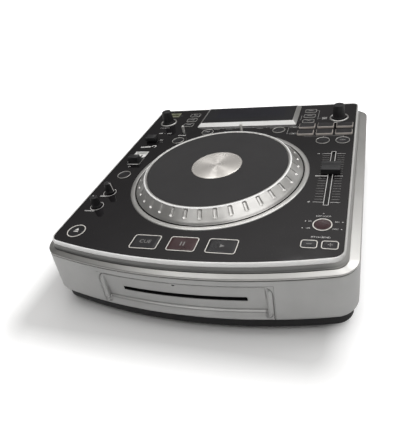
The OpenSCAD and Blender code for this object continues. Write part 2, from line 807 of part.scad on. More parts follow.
module power_rocker() {
    plate_y = body_back - rear_deep;
    pin_l = rocker_box[0] - 0.4;
    color(BLACK) translate([rocker_x, plate_y - rocker_box[1] / 2 + 6.5, rear_z]) {
        rotate([-rocker_turn / 2, 0, 0]) translate([0, 1.2, -rocker_size[2] / 2]) block(rocker_size);
        translate([-pin_l / 2, 0, 0]) rotate([0, 90, 0]) cylinder(h = pin_l, r = rocker_pin_r);
    }
}

// ---------- deck ----------

module deck_panel() {
    color(BLACK) difference() {
        plan_block(panel_z, deck_z, -fit_gap, -fit_gap, -fit_gap, deck_corner_r - fit_gap);
        on_deck([0, 0], panel_z - CUT) linear_extrude(panel_t + 2 * CUT) deck_holes();
    }
}

module deck_holes() {
    for (at = MAIN_AT) translate(at) round_rect(main_key + 2 * [key_gap, key_gap], key_corner_r);
    for (at = BEND_AT) translate(at) round_rect(bend_key + 2 * [key_gap, key_gap], key_corner_r);
    for (at = PAD_AT) translate(at) round_rect(pad_size + 2 * [key_gap, key_gap], key_corner_r);
    for (at = MODE_AT) translate(at) round_rect(mode_key + 2 * [key_gap, key_gap], key_corner_r);
    for (i = [0 : len(ROUND_AT) - 1]) translate(ROUND_AT[i]) circle(ROUND_R[i] + key_gap);
    translate(eject_at) circle(eject_r + key_gap);
    translate(lock_at) circle(lock_r + key_gap);
    translate(jog_at) circle(jog_hole_r);
    for (at = DIAL_AT) translate(at) circle(pot_neck_r + pot_neck_gap);
    for (at = LEVER_AT) translate(at) circle(lever_hole_r);
    translate(fader_at) square([fader_slot_w, fader_slot_l], center = true);
    translate(slide_at) square(slide_window + 2 * [fit_gap, fit_gap], center = true);
    translate(paddle_at) square(paddle_hole, center = true);
    translate(usb_at) square(usb_plate + 2 * [fit_gap, fit_gap], center = true);
    // Ribbon cable of the display
    translate(display_at) square([30, 3], center = true);
}

module jog_ring() {
    color(BRIGHT) on_deck(jog_at, deck_z) rotate_extrude($fn = 180)
        polygon([[ring_in_r, 0], [ring_out_r, 0], [ring_out_r, 0.6 * ring_t],
            [ring_out_r - 0.4 * ring_t, ring_t], [ring_in_r + 0.4 * ring_t, ring_t],
            [ring_in_r, 0.6 * ring_t]]);
}

module jog_bearing() {
    color("silver") on_deck(jog_at) difference() {
        union() {
            translate([0, 0, bush_low]) cylinder(h = bush_top - bush_low, r = jog_bush_r);
            translate([0, 0, panel_z - 3]) cylinder(h = 3, r = jog_flange_r);
        }
        translate([0, 0, bush_low - CUT])
            cylinder(h = bush_top - bush_low + 2 * CUT, r = jog_shaft_r + shaft_fit);
    }
}

module jog_wheel() {
    seat_z = jog_top - slipmat_t;
    slope = atan2(jog_top - jog_band_z, jog_band_r - jog_lip_r);
    flute_l = (jog_top - jog_band_z) / sin(slope);
    color(SILVER) on_deck(jog_at) difference() {
        union() {
            rotate_extrude($fn = 180) polygon([[0, jog_z], [jog_r - 0.6, jog_z],
                [jog_r, jog_z + 0.6], [jog_band_r, jog_band_z], [jog_lip_r, jog_top - 0.4],
                [jog_lip_r - 1, jog_top + lip_proud], [slipmat_r + 0.6, jog_top + lip_proud],
                [slipmat_r + fit_gap, seat_z], [0, seat_z]]);
            translate([0, 0, bush_low + 1]) cylinder(h = seat_z - bush_low - 1, r = jog_shaft_r);
        }
        for (i = [0 : flutes - 1]) rotate([0, 0, (i + 0.5) * 360 / flutes])
            translate([jog_band_r, 0, jog_band_z]) rotate([0, slope - 90, 0])
                translate([flute_r - flute_deep, 0, 0.12 * flute_l])
                    cylinder(h = 0.84 * flute_l, r = flute_r, $fn = 24);
    }
}

module slipmat() {
    color("#3d3d3d") on_deck(jog_at, jog_top - slipmat_t) rotate_extrude($fn = 180)
        polygon([[centre_cap_r + fit_gap, 0], [slipmat_r, 0], [slipmat_r, slipmat_t - 0.3],
            [slipmat_r - 0.3, slipmat_t], [centre_cap_r + fit_gap, slipmat_t]]);
}

module centre_cap() {
    color("gainsboro") on_deck(jog_at, jog_top - slipmat_t) rotate_extrude($fn = 120)
        polygon([[0, 0], [centre_cap_r, 0], [centre_cap_r, slipmat_t - 0.2],
            [centre_cap_r - 0.4, slipmat_t + 0.1], [0, slipmat_t + 0.1]]);
}

// ---------- keys ----------

// Foot that presses the switch, shared by every key
module key_foot() {
    translate([0, 0, key_foot_z]) cylinder(h = key_flange_top - key_foot_z, r = key_foot_r);
}

module square_key(at, size, proud) {
    top = deck_z + proud;
    grow = 2 * (key_flange + key_gap);
    on_deck(at) {
        key_foot();
        translate([0, 0, key_flange_top - key_flange_t]) linear_extrude(key_flange_t)
            round_rect(size + [grow, grow], key_corner_r);
        translate([0, 0, key_flange_top - key_flange_t])
            linear_extrude(top - 0.3 - key_flange_top + key_flange_t)
                round_rect(size, key_corner_r - key_gap);
        translate([0, 0, top - 0.3]) linear_extrude(0.3)
            round_rect(size - [0.6, 0.6], key_corner_r - key_gap);
    }
}

module round_key(at, r) {
    top = deck_z + key_proud;
    low = key_flange_top - key_flange_t;
    on_deck(at) {
        key_foot();
        rotate_extrude() polygon([[0, low], [r + key_gap + key_flange, low],
            [r + key_gap + key_flange, key_flange_top], [r, key_flange_top], [r, top - 0.3],
            [r - 0.3, top], [0, top]]);
    }
}

module main_key_part(at) { color(DARK) square_key(at, main_key, key_proud); }
module bend_key_part(at) { color(DARK) square_key(at, bend_key, key_proud); }
module mode_key_part(i) { color(DARK) square_key(MODE_AT[i], mode_key, key_proud); }
module pad(i) { color("#34322f") square_key(PAD_AT[i], pad_size, pad_proud); }
module round_key_part(i) { color(DARK) round_key(ROUND_AT[i], ROUND_R[i]); }
module eject_key() { color(DARK) round_key(eject_at, eject_r); }
module lock_key() { color("#3a302c") round_key(lock_at, lock_r); }

// ---------- dials, fader, switches and levers ----------

// Turned grip on a shaft
module grip(r, top_r, h) {
    low = deck_z + dial_gap;
    top = deck_z + h;
    rotate_extrude() polygon([[0, low], [r - 0.4, low], [r, low + 0.4], [r - 0.3, low + 2],
        [top_r, top - 1], [top_r - 1, top], [0, top]]);
    translate([0, 0, board_top + 1.5]) cylinder(h = top - board_top - 3, r = dial_shaft_r);
}

module dial(at) { color(BLACK) on_deck(at) grip(dial_r, dial_top_r, dial_h); }

// Grip with a groove across its top that points one way
module knob(at, turn) {
    color(BLACK) on_deck(at) rotate([0, 0, turn]) difference() {
        grip(knob_r, knob_top_r, knob_h);
        translate([-0.4, 1, deck_z + knob_h - 0.5]) cube([0.8, knob_r, 1]);
    }
}

module pitch_fader() {
    low = deck_z + fader_cap_gap;
    half = fader_cap[1] / 2;
    top = deck_z + fader_cap[2];
    color(BLACK) on_deck(fader_at + [0, fader_stand]) {
        translate([-fader_cap[0] / 2, 0, 0]) rotate([90, 0, 90]) linear_extrude(fader_cap[0])
            polygon([[-half, low], [half, low], [half - 0.8, top - 2], [half - 2, top],
                [2, top - 1.2], [-2, top - 1.2], [2 - half, top], [0.8 - half, top - 2]]);
        translate([0, 0, board_top + fader_floor + 1])
            block([fader_stem_t, fader_stem_d, low - board_top - fader_floor]);
    }
}

module slide_guide() {
    color("gainsboro") on_deck(slide_at) difference() {
        translate([0, 0, slide_floor_z - slide_floor_t])
            block([slide_window[0], slide_window[1], slide_deep + slide_floor_t]);
        translate([0, 0, slide_floor_z])
            block([slide_window[0] - 2 * slide_wall, slide_window[1] - 2 * slide_wall, slide_deep + CUT]);
        translate([0, 0, slide_floor_z - slide_floor_t - CUT])
            block([slide_stem[0] + 1, slide_travel + slide_stem[1] + 1, slide_floor_t + 2 * CUT]);
    }
}

module slide_switch() {
    low = slide_floor_z + fit_gap;
    half = slide_cap[1] / 2;
    top = deck_z + slide_cap[2];
    color(BLACK) on_deck([slide_at[0], slide_cap_y]) {
        translate([-slide_cap[0] / 2, 0, 0]) rotate([90, 0, 90]) linear_extrude(slide_cap[0])
            polygon([[-half, low], [half, low], [half, deck_z + 1], [half - 1.5, top - 1],
                [half - 2.5, top], [2.5 - half, top], [1.5 - half, top - 1], [-half, deck_z + 1]]);
        translate([0, 0, board_top + 1.5]) block([slide_stem[0], slide_stem[1], low - board_top]);
    }
}

module reverse_paddle() {
    low = deck_z + paddle_lift;
    half = paddle_size[1] / 2;
    top = deck_z + paddle_size[2];
    pin_l = paddle_neck[0] + 2 * (paddle_ear_gap + paddle_ear) - 0.4;
    color(BLACK) on_deck(paddle_at) {
        translate([-paddle_size[0] / 2, 0, 0]) rotate([90, 0, 90]) linear_extrude(paddle_size[0])
            polygon([[-half, low], [half, low], [half, top - 1.5], [half - 1, top],
                [0, top - 0.8], [1 - half, top], [-half, top - 1.5]]);
        translate([0, 0, paddle_pivot_z - 2])
            block([paddle_neck[0], paddle_neck[1], low + 1 - paddle_pivot_z + 2]);
        translate([-pin_l / 2, 0, paddle_pivot_z]) rotate([0, 90, 0])
            cylinder(h = pin_l, r = paddle_pin_r);
    }
}

module lever(at) {
    tip = deck_z + lever_h;
    color("silver") on_deck(at) {
        translate([0, 0, lever_pivot_z]) sphere(lever_ball_r);
        rotate_extrude() polygon([[0, lever_pivot_z], [lever_neck_r, lever_pivot_z],
            [lever_neck_r, deck_z + 1], [lever_r, tip - 1.5], [lever_r - 0.8, tip], [0, tip]]);
    }
}

// ---------- display and data socket ----------

module display_bezel() {
    top = display_size - 2 * [display_bevel, display_bevel];
    edge = 1.1;
    color(BRIGHT) on_deck(display_at, deck_z) difference() {
        hull() {
            block([display_size[0], display_size[1], 0.6]);
            translate([0, 0, display_h - SLICE]) block([top[0], top[1], SLICE]);
        }
        translate([0, 0, display_h - display_glass_t])
            block([top[0] - 2 * edge, top[1] - 2 * edge, display_h]);
        translate([0, lcd_shift, 1]) block([lcd_size[0] + 1, lcd_size[1] + 1, display_h]);
    }
}

module display_module() {
    top = display_size - 2 * [display_bevel, display_bevel];
    edge = 1.1 + fit_gap;
    color("#15161a") on_deck(display_at, deck_z) {
        translate([0, 0, display_h - display_glass_t])
            block([top[0] - 2 * edge, top[1] - 2 * edge, display_glass_t]);
        translate([0, lcd_shift, 1])
            block([lcd_size[0], lcd_size[1], display_h - display_glass_t - 1]);
    }
}

module usb_socket() {
    color("#9a9c80") on_deck(usb_at) difference() {
        union() {
            translate([0, 0, panel_z]) block([usb_plate[0], usb_plate[1], panel_t]);
            translate([0, 0, board_top]) block([15, 8, panel_z - board_top + 1]);
        }
        difference() {
            translate([0, 0, board_top + 1]) block([12.6, 5, panel_z + CUT]);
            translate([0, 0.9, board_top]) block([11, 1.8, panel_z - board_top + 0.5]);
        }
    }
}

// ---------- boards ----------

module key_board() {
    spacers = [[-60, 45], [60, 45], [-105, 60], [105, 90], [-105, 170], [105, 175], [-100, 210],
        [60, 290], [-60, 290]];
    color("darkgreen") {
        difference() {
            plan_block(board_low, board_top, -board_in, -board_in, -board_in, deck_corner_r);
            on_deck(jog_at, board_low - CUT) cylinder(h = board_t + 2 * CUT, r = jog_bush_r + 4);
        }
        for (at = ALL_KEYS) on_deck(at, board_top) {
            block([switch_w, switch_w, switch_body_h]);
            cylinder(h = switch_h, r = switch_pin_r);
        }
        for (at = spacers) on_deck(at, board_top) cylinder(h = panel_z - board_top, r = 3);
        for (at = DIAL_AT) on_deck(at, board_top) difference() {
            union() {
                block([pot_w, pot_w, pot_h]);
                cylinder(h = deck_z - board_top, r = pot_neck_r);
            }
            translate([0, 0, 1]) cylinder(h = deck_z, r = dial_shaft_r + shaft_fit);
        }
        for (at = LEVER_AT) on_deck(at, board_top) difference() {
            block([lever_box, lever_box, pot_h]);
            translate([0, 0, 1]) cylinder(h = deck_z, r = lever_ball_r + shaft_fit);
        }
        // Fader track
        on_deck(fader_at, board_top) difference() {
            block([fader_box[0], fader_slot_l + 14, panel_z - board_top - 0.4]);
            translate([0, 0, fader_floor])
                block([fader_slot_w + 0.6, fader_slot_l, panel_z - board_top]);
        }
        // Slide switch body
        on_deck(slide_at, board_top) difference() {
            block([9, slide_travel + 12, slide_floor_z - slide_floor_t - board_top]);
            translate([0, 0, 1]) block([slide_stem[0] + 0.6, slide_travel + 8, deck_z]);
        }
        // Cradle of the reverse paddle
        for (s = [-1, 1]) on_deck(paddle_at, board_top)
            translate([s * (paddle_neck[0] / 2 + paddle_ear_gap + paddle_ear / 2), 0, 0]) difference() {
                block([paddle_ear, 6, panel_z - board_top]);
                translate([-paddle_ear, 0, paddle_pivot_z - board_top]) rotate([0, 90, 0])
                    cylinder(h = 2 * paddle_ear, r = paddle_pin_r + shaft_fit);
            }
    }
}

module main_board() {
    low = tray_floor + post_h;
    top = low + board_t;
    half = main_board_size / 2;
    color("darkgreen") on_deck([0, main_board_y]) {
        translate([0, 0, low]) block([main_board_size[0], main_board_size[1], board_t]);
        for (sx = [-1, 1], sy = [-1, 1])
            translate([sx * (half[0] - 6), sy * (half[1] - 6), tray_floor]) cylinder(h = post_h, r = 3);
        // Screened mains supply
        translate([-half[0] + supply_size[0] / 2 + 4, -4, top]) block(supply_size);
        translate([10, 8, top]) block([24, 24, 2.2]);
        translate([50, -12, top]) block([18, 18, 1.6]);
        for (i = [0 : 3]) translate([84 + 7 * (i % 2), -20 + 22 * floor(i / 2), top])
            cylinder(h = 12, r = 3.2);
    }
}

// ---------- drive ----------

module drive_chassis() {
    deck_low = drive_floor + drive_t;
    outer = drive_w + 2 * drive_t;
    color("lightsteelblue") {
        difference() {
            on_deck([0, drive_y + drive_d / 2], drive_floor) difference() {
                block([outer, drive_d, drive_t + drive_wall_h]);
                translate([0, 0, drive_t]) block([drive_w, drive_d + 2 * CUT, drive_wall_h + CUT]);
            }
            on_deck([-outer, roller_y], roller_z) rotate([0, 90, 0])
                cylinder(h = 2 * outer, r = roller_shaft_r + shaft_fit);
        }
        for (sx = [-1, 1], y = [drive_y + 10, drive_y + drive_d - 10])
            on_deck([sx * (drive_w / 2 - 8), y], tray_floor) cylinder(h = drive_leg, r = 4);
        on_deck([0, spindle_y], deck_low) difference() {
            cylinder(h = motor_h, r = motor_r);
            translate([0, 0, 1]) cylinder(h = motor_h, r = spindle_r + shaft_fit);
        }
        for (s = [-1, 1]) on_deck([s * rod_pitch / 2, rod_y0], 0) {
            translate([0, 0, rod_z]) rotate([-90, 0, 0]) cylinder(h = rod_l, r = rod_r);
            for (y = [rod_block_t / 2, rod_l - rod_block_t / 2])
                translate([0, y, deck_low]) block([7, rod_block_t, rod_z + 3 - deck_low]);
        }
    }
}

module disc_turntable() {
    low = turntable_top - turntable_t;
    color("dimgray") on_deck([0, spindle_y]) {
        rotate_extrude() polygon([[0, low], [turntable_r - 1, low], [turntable_r, low + 0.6],
            [turntable_r, turntable_top - 0.8], [8, turntable_top - 0.8], [6.5, turntable_top],
            [0, turntable_top]]);
        translate([0, 0, drive_floor + drive_t + 2])
            cylinder(h = low - drive_floor - drive_t - 1, r = spindle_r);
    }
}

module laser_sled() {
    color(BLACK) on_deck([0, sled_y], rod_z) {
        difference() {
            translate([0, 0, -sled_size[2] / 2]) block(sled_size);
            for (s = [-1, 1]) translate([s * rod_pitch / 2, -sled_size[1], 0]) rotate([-90, 0, 0])
                cylinder(h = 2 * sled_size[1], r = rod_r + shaft_fit);
        }
        // Lens
        translate([0, 4.5 - sled_size[1] / 2, sled_size[2] / 2]) cylinder(h = 1.6, r = 3.6);
    }
}

module feed_roller() {
    shaft_l = drive_w + 2 * drive_t + 3;
    color(DARK) on_deck([0, roller_y], roller_z) rotate([0, 90, 0]) {
        translate([0, 0, -shaft_l / 2]) cylinder(h = shaft_l, r = roller_shaft_r);
        rotate_extrude() polygon([[0, -roller_l / 2], [roller_r, -roller_l / 2], [roller_hub_r, 0],
            [roller_r, roller_l / 2], [0, roller_l / 2]]);
    }
}

base_tray();
body_shell();
top_cover();
deck_panel();
slot_bezel();
rubber_feet();
case_screws();
rear_panel();
rear_sockets();
power_inlet();
usb_socket();
display_bezel();
display_module();
slide_guide();
jog_ring();
jog_bearing();
key_board();
main_board();
drive_chassis();
jog_wheel();
slipmat();
centre_cap();
eject_key();
main_key_part(cue_at);  // cue_key
main_key_part(pause_at);  // pause_key
main_key_part(play_at);  // play_key
bend_key_part(bend_down_at);  // bend_down_key
bend_key_part(bend_up_at);  // bend_up_key
lock_key();
for (i = [0 : 5]) {
    round_key_part(i);
    pad(i);
    mode_key_part(i);
}
dial(left_dial_at);  // left_dial
dial(right_dial_at);  // right_dial
knob(rear_knob_at, rear_knob_turn);  // rear_knob
knob(front_knob_at, front_knob_turn);  // front_knob
pitch_fader();
slide_switch();
reverse_paddle();
lever(left_lever_at);  // left_lever
lever(centre_lever_at);  // centre_lever
power_rocker();
disc_turntable();
laser_sled();
feed_roller();
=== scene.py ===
import math

import bmesh
import bpy
from mathutils import Matrix, Vector

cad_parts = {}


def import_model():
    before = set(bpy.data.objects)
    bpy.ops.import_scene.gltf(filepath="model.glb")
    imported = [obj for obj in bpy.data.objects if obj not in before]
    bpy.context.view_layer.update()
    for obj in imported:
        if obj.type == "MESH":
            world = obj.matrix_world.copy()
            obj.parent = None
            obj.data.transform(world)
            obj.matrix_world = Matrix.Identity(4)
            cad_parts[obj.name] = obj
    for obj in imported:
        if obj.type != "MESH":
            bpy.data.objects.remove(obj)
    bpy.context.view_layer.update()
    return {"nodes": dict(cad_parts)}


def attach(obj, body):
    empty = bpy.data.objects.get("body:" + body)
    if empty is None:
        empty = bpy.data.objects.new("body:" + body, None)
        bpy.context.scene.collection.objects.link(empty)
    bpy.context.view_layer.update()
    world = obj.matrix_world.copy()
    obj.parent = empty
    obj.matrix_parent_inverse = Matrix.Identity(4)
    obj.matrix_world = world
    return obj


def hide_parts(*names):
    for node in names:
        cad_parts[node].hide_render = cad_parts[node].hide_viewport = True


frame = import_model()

# The deck's own grid, in millimetres: x from the middle, y from the front edge, z from the deck.
MM = 0.001
FRONT_Y = -166.5
DECK_Z = 84.0
BOW_R = 582.0
BOW_Y = FRONT_Y + BOW_R
HALF_W = 148.2
BACK_Y = 338.0
CASE = "case"


def deck(x, y, z=0.0):
    """A point on the deck's grid, in metres in the row frame."""
    return Vector((x * MM, (FRONT_Y + y) * MM, (DECK_Z + z) * MM))


# ---- meshes

def make(name, verts, faces, material, body, angle, slot):
    """A mesh piece from points in metres, smooth but for edges sharper than angle."""
    mesh = bpy.data.meshes.new(name)
    mesh.from_pydata([tuple(v) for v in verts], [], faces)
    mesh.validate()
    bm = bmesh.new()
    bm.from_mesh(mesh)
    bmesh.ops.remove_doubles(bm, verts=bm.verts, dist=1e-7)
    bmesh.ops.recalc_face_normals(bm, faces=bm.faces)
    bm.to_mesh(mesh)
    bm.free()
    return place(name, mesh, material, body, angle)


def link(name, data, at=(0, 0, 0)):
    ob = bpy.data.objects.new(name, data)
    bpy.context.scene.collection.objects.link(ob)
    ob.location = at
    return ob


def place(name, mesh, material, body, angle, at=(0, 0, 0)):
    """A mesh as a piece that rides on a body."""
    for p in mesh.polygons:
        p.use_smooth = True
    mesh.set_sharp_from_angle(angle=math.radians(angle))
    ob = link(name, mesh, at)
    for m in material if isinstance(material, list) else [material]:
        mesh.materials.append(m)
    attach(ob, body)
    return ob


def skin(rings, closed=True, cap_low=False, cap_high=False):
    """Points and faces of a surface over rings of equally many points."""
    n = len(rings[0])
    verts = [v for r in rings for v in r]
    faces = []
    for k in range(len(rings) - 1):
        for i in range(n if closed else n - 1):
            j = (i + 1) % n
            faces.append((k * n + i, k * n + j, (k + 1) * n + j, (k + 1) * n + i))
    if cap_low:
        faces.append(tuple(range(n - 1, -1, -1)))
    if cap_high:
        faces.append(tuple((len(rings) - 1) * n + i for i in range(n)))
    return verts, faces


def lathe(name, profile, centre, material, body, steps, angle, slot, dent=None,
          ring_shaped=False):
    """A turned piece: profile is [(radius, z)] in mm over centre, a point in metres.
    dent(turn, index) may change the radius and the height there. A ring's profile is closed
    back to its start; any other piece ends in flat discs."""
    rings = []
    for k, (r, z) in enumerate(profile):
        ring = []
        for i in range(steps):
            a = 2 * math.pi * i / steps
            dr, dz = dent(a, k) if dent else (0.0, 0.0)
            out = r + dr
            ring.append(centre + Vector((out * math.cos(a), out * math.sin(a), z + dz)) * MM)
        rings.append(ring)
    if ring_shaped:
        rings.append(rings[0])
    ends = not ring_shaped
    return make(name, *skin(rings, True, ends, ends), material, body, angle, slot)


def round_rect(w, h, r, steps=6):
    """Corner points of a rounded rectangle round the origin, in mm."""
    pts = []
    for cx, cy, a0 in ((w / 2 - r, h / 2 - r, 0), (r - w / 2, h / 2 - r, 90),
                       (r - w / 2, r - h / 2, 180), (w / 2 - r, r - h / 2, 270)):
        for i in range(steps + 1):
            a = math.radians(a0 + 90 * i / steps)
            pts.append((cx + r * math.cos(a), cy + r * math.sin(a)))
    return pts


def tablet(name, at, size, r, levels, material, body, angle, slot, top=None):
    """A rounded block on the deck. levels is [(inset, z)] from the bottom up; its face is
    closed by shrinking the last ring in steps, so that top(x, y) can dish it."""
    def ring(inset, z, shrink=1.0):
        pts = []
        for x, y in round_rect(size[0] - 2 * inset, size[1] - 2 * inset, max(r - inset, 0.15)):
            x, y = x * shrink, y * shrink
            dip = top(x, y) if top and shrink < 1 else 0.0
            pts.append(deck(at[0] + x, at[1] + y, z - dip))
        return pts

    rings = [ring(inset, z) for inset, z in levels]
    rings += [ring(*levels[-1], shrink) for shrink in (0.8, 0.55, 0.3)]
    return make(name, *skin(rings, True, True, True), material, body, angle, slot)


# ---- materials

def wire(tree, kind, sockets, **settings):
    """A new shader node. Each entry of sockets is a value, or the socket that feeds it."""
    n = tree.nodes.new("ShaderNode" + kind)
    for key, value in settings.items():
        setattr(n, key, value)
    for key, value in sockets.items():
        if isinstance(value, bpy.types.NodeSocket):
            tree.links.new(value, n.inputs[key])
        else:
            n.inputs[key].default_value = value
    return n


def surface(name, values):
    """A new material, its node tree and its shader's sockets, some of them set."""
    m = bpy.data.materials.new(name)
    m.use_nodes = True
    sockets = m.node_tree.nodes["Principled BSDF"].inputs
    for key, value in values.items():
        sockets[key].default_value = value
    return m, m.node_tree, sockets


def blend(tree, factor, a, b, **settings):
    """The colour that is a where factor is 0 and b where it is 1."""
    return wire(tree, "Mix", {"Factor": factor, "A": a, "B": b}, data_type="RGBA",
                **settings).outputs["Result"]


def paint(name, base, rough, metal=0.0, tint=None, vary=None, grain=None, spec=0.5,
          coat=(0.0, 0.1), flake=0.0, dust=0.0, stretch=(1, 1, 1)):
    """A procedural surface. tint, vary and grain are (amount, scale) of the clouds in its
    colour, of its changing roughness and of its fine bumps. coat is (weight, roughness), flake
    the sparkle of metal paint and dust the grey of specks that lie on it."""
    m, tree, p = surface(name, {
        "Base Color": (*base, 1), "Roughness": rough, "Metallic": metal,
        "Specular IOR Level": spec, "Coat Weight": coat[0], "Coat Roughness": coat[1]})
    place_on = wire(tree, "TexCoord", {}).outputs["Object"]
    spot = wire(tree, "Mapping", {"Scale": stretch, "Vector": place_on}).outputs["Vector"]

    def noise(scale, detail):
        return wire(tree, "TexNoise", {"Scale": scale, "Detail": detail, "Vector": spot}).outputs

    def clouds(scale, detail, low, high):
        return wire(tree, "MapRange", {
            "From Min": 0.3, "From Max": 0.7, "To Min": low, "To Max": high,
            "Value": noise(scale, detail)["Fac"]}).outputs["Result"]

    if tint:
        amount, scale = tint
        darker = (*[c * (1 - amount) for c in base], 1)
        lighter = (*[min(1, c * (1 + amount) + 0.002 * amount) for c in base], 1)
        colour = blend(tree, clouds(scale, 3.0, 0, 1), darker, lighter)
        if flake:
            grey = wire(tree, "RGBToBW", {"Color": noise(5200, 1.0)["Color"]}).outputs["Val"]
            colour = blend(tree, flake, colour, grey, blend_type="OVERLAY")
        if dust:
            specks = wire(tree, "TexVoronoi", {"Scale": 260, "Vector": place_on}, feature="F1")
            near = wire(tree, "MapRange", {"From Min": 0.02, "From Max": 0.07, "To Min": dust,
                                           "To Max": 0, "Value": specks.outputs["Distance"]})
            colour = blend(tree, near.outputs["Result"], colour, (0.35, 0.34, 0.33, 1))
        tree.links.new(colour, p["Base Color"])
    if vary:
        amount, scale = vary
        rough = clouds(scale, 4.0, max(0.02, rough - amount), rough + amount)
        tree.links.new(rough, p["Roughness"])
    if grain:
        bump = wire(tree, "Bump", {"Strength": grain[0], "Distance": 0.0002,
                                   "Height": noise(grain[1], 2.0)["Fac"]})
        tree.links.new(bump.outputs["Normal"], p["Normal"])
    return m


# Name, colour, roughness and metal; then the colour's clouds, changing roughness and bumps
SILVER = paint("silver_paint", (0.44, 0.44, 0.435), 0.38, 0.85, (0.07, 22), (0.025, 40),
               (0.08, 2600), coat=(0.08, 0.2), flake=0.18)
BRIGHT = paint("bright_paint", (0.56, 0.555, 0.54), 0.33, 0.9, (0.05, 24), (0.02, 40),
               (0.05, 2600), flake=0.12)
# Darker copy of the trim's paint for the hollow wall under the rim: painted shade, lighter towards
# the right side
COVE_SHADE = paint("painted_cove_shade", (0.25, 0.25, 0.245), 0.4, 0.8, (0.05, 24), (0.02, 40), (0.05, 2600))
# Near-white copy of the trim's paint for the rim, the wheel's lip and the display frame's front
# edge: a painted highlight, dimmer towards both sides
RIM_HIGHLIGHT = paint("painted_rim_highlight", (0.97, 0.965, 0.95), 0.32, 0.05, (0.05, 30), (0.02, 40), (0.04, 2600))
WHEEL = paint("wheel_paint", (0.6, 0.592, 0.575), 0.34, 0.85, (0.09, 70), (0.04, 60),
              (0.08, 2400), flake=0.15)
GLOSS = paint("gloss_deck", (0.009, 0.008, 0.009), 0.07, 0, (0.35, 9), (0.04, 26), (0.02, 60),
              dust=0.22)
TRAY = paint("black_plastic", (0.009, 0.009, 0.01), 0.6, 0, (0.25, 40), (0.08, 40),
             (0.5, 1500), spec=0.3)
RUBBER = paint("rubber", (0.02, 0.02, 0.02), 0.75, 0, (0.3, 80), None, (0.6, 1200))
STEEL = paint("steel", (0.55, 0.55, 0.55), 0.3, 1.0, (0.08, 120), (0.08, 40), (0.08, 700),
              stretch=(1, 1, 14))
SOCKET = paint("socket_metal", (0.6, 0.59, 0.56), 0.28, 1.0, (0.06, 60), (0.06, 40))
OLIVE = paint("olive_metal", (0.28, 0.29, 0.2), 0.42, 0.6, (0.14, 160), (0.08, 40), (0.1, 1800))
WHITE_PLASTIC = paint("white_plastic", (0.8, 0.8, 0.79), 0.4, 0, (0.05, 90), (0.05, 40),
                      (0.1, 1300))
BOARD = paint("circuit_board", (0.02, 0.13, 0.06), 0.38, 0, (0.3, 260), (0.08, 40), (0.2, 500))
ZINC = paint("zinc_steel", (0.5, 0.51, 0.53), 0.36, 1.0, (0.12, 70), (0.1, 70))
MAT_TOP = paint("slipmat", (0.034, 0.033, 0.034), 0.58, 0, (0.05, 14), (0.03, 40), (0.12, 1900),
                spec=0.22)
KEY = paint("key_plastic", (0.012, 0.0115, 0.013), 0.3, 0, (0.22, 110), (0.06, 40),
            (0.22, 1700), spec=0.35)
KEY_RED = paint("key_plastic_red", (0.036, 0.013, 0.015), 0.3, 0, (0.22, 110), (0.06, 40),
                (0.22, 1700), spec=0.35)
PAD_TOP = paint("pad_rubber", (0.014, 0.013, 0.014), 0.45, 0, (0.25, 120), (0.06, 40),
                (0.25, 1500), spec=0.35)
# Light grey for the pads' sides: a painted highlight where their edges catch light
PAD_SIDE_HIGHLIGHT = paint("pad_edge", (0.5, 0.455, 0.42), 0.42, 0, (0.12, 140), (0.06, 40), (0.15, 1700))
KNOB = paint("knob_plastic", (0.01, 0.01, 0.011), 0.38, 0, (0.25, 90), (0.07, 40), (0.25, 1500))
# Grey for the front of the fader cap's hollow: painted sheen where its floor faces up
KNOB_SHEEN = paint("knob_grey", (0.038, 0.038, 0.04), 0.42, 0, (0.2, 90), (0.07, 40), (0.2, 1500))
FRAME = paint("silver_ink", (0.8, 0.775, 0.73), 0.42, 0.1, (0.06, 120), (0.05, 40), (0.05, 1500))
RING = paint("ring_metal", (0.5, 0.49, 0.47), 0.36, 0.6, (0.1, 140), (0.06, 40), (0.05, 1500))
INK = paint("white_ink", (0.66, 0.65, 0.64), 0.5, 0, (0.08, 300), (0.06, 40), (0.05, 1500))
INK_DIM = paint("grey_ink", (0.24, 0.235, 0.23), 0.5, 0, (0.12, 300), (0.06, 40), (0.05, 1500))
LEVER = paint("lever_metal", (0.62, 0.61, 0.59), 0.36, 0.45, (0.06, 120), (0.06, 40))
GLASS = paint("display_glass", (0.01, 0.01, 0.012), 0.12, 0, (0.3, 12), (0.04, 30),
              (0.015, 60), spec=0.6)
LCD = paint("lcd_panel", (0.013, 0.013, 0.018), 0.14, 0, (0.14, 26), (0.05, 40), (0.06, 1600),
            spec=0.4)
DRIVE = paint("drive_plastic", (0.035, 0.035, 0.037), 0.5, 0, (0.2, 90), (0.08, 40), (0.3, 1200))


def brushed_disc():
    """Metal turned on a lathe: fine rings round the middle, with anisotropic gloss."""
    m = paint("brushed_disc", (0.66, 0.64, 0.60), 0.28, 0.72)
    tree = m.node_tree
    p = tree.nodes["Principled BSDF"].inputs
    p["Anisotropic"].default_value = 0.9
    p["Anisotropic Rotation"].default_value = 0.25
    tangent = wire(tree, "Tangent", {}, direction_type="RADIAL", axis="Z")
    place_on = wire(tree, "TexCoord", {}).outputs["Object"]
    out = wire(tree, "VectorMath", {0: place_on}, operation="LENGTH").outputs["Value"]
    fine = {"W": out, "Scale": 2600, "Detail": 2}
    rings = wire(tree, "TexNoise", fine, noise_dimensions="1D").outputs["Fac"]
    rough = wire(tree, "MapRange", {"To Min": 0.19, "To Max": 0.30, "Value": rings})
    tree.links.new(tangent.outputs["Tangent"], p["Tangent"])
    tree.links.new(rough.outputs["Result"], p["Roughness"])
    tree.links.new(blend(tree, rings, (0.88, 0.845, 0.80, 1), (1.0, 0.965, 0.92, 1)),
                   p["Base Color"])
    return m


DISC = brushed_disc()


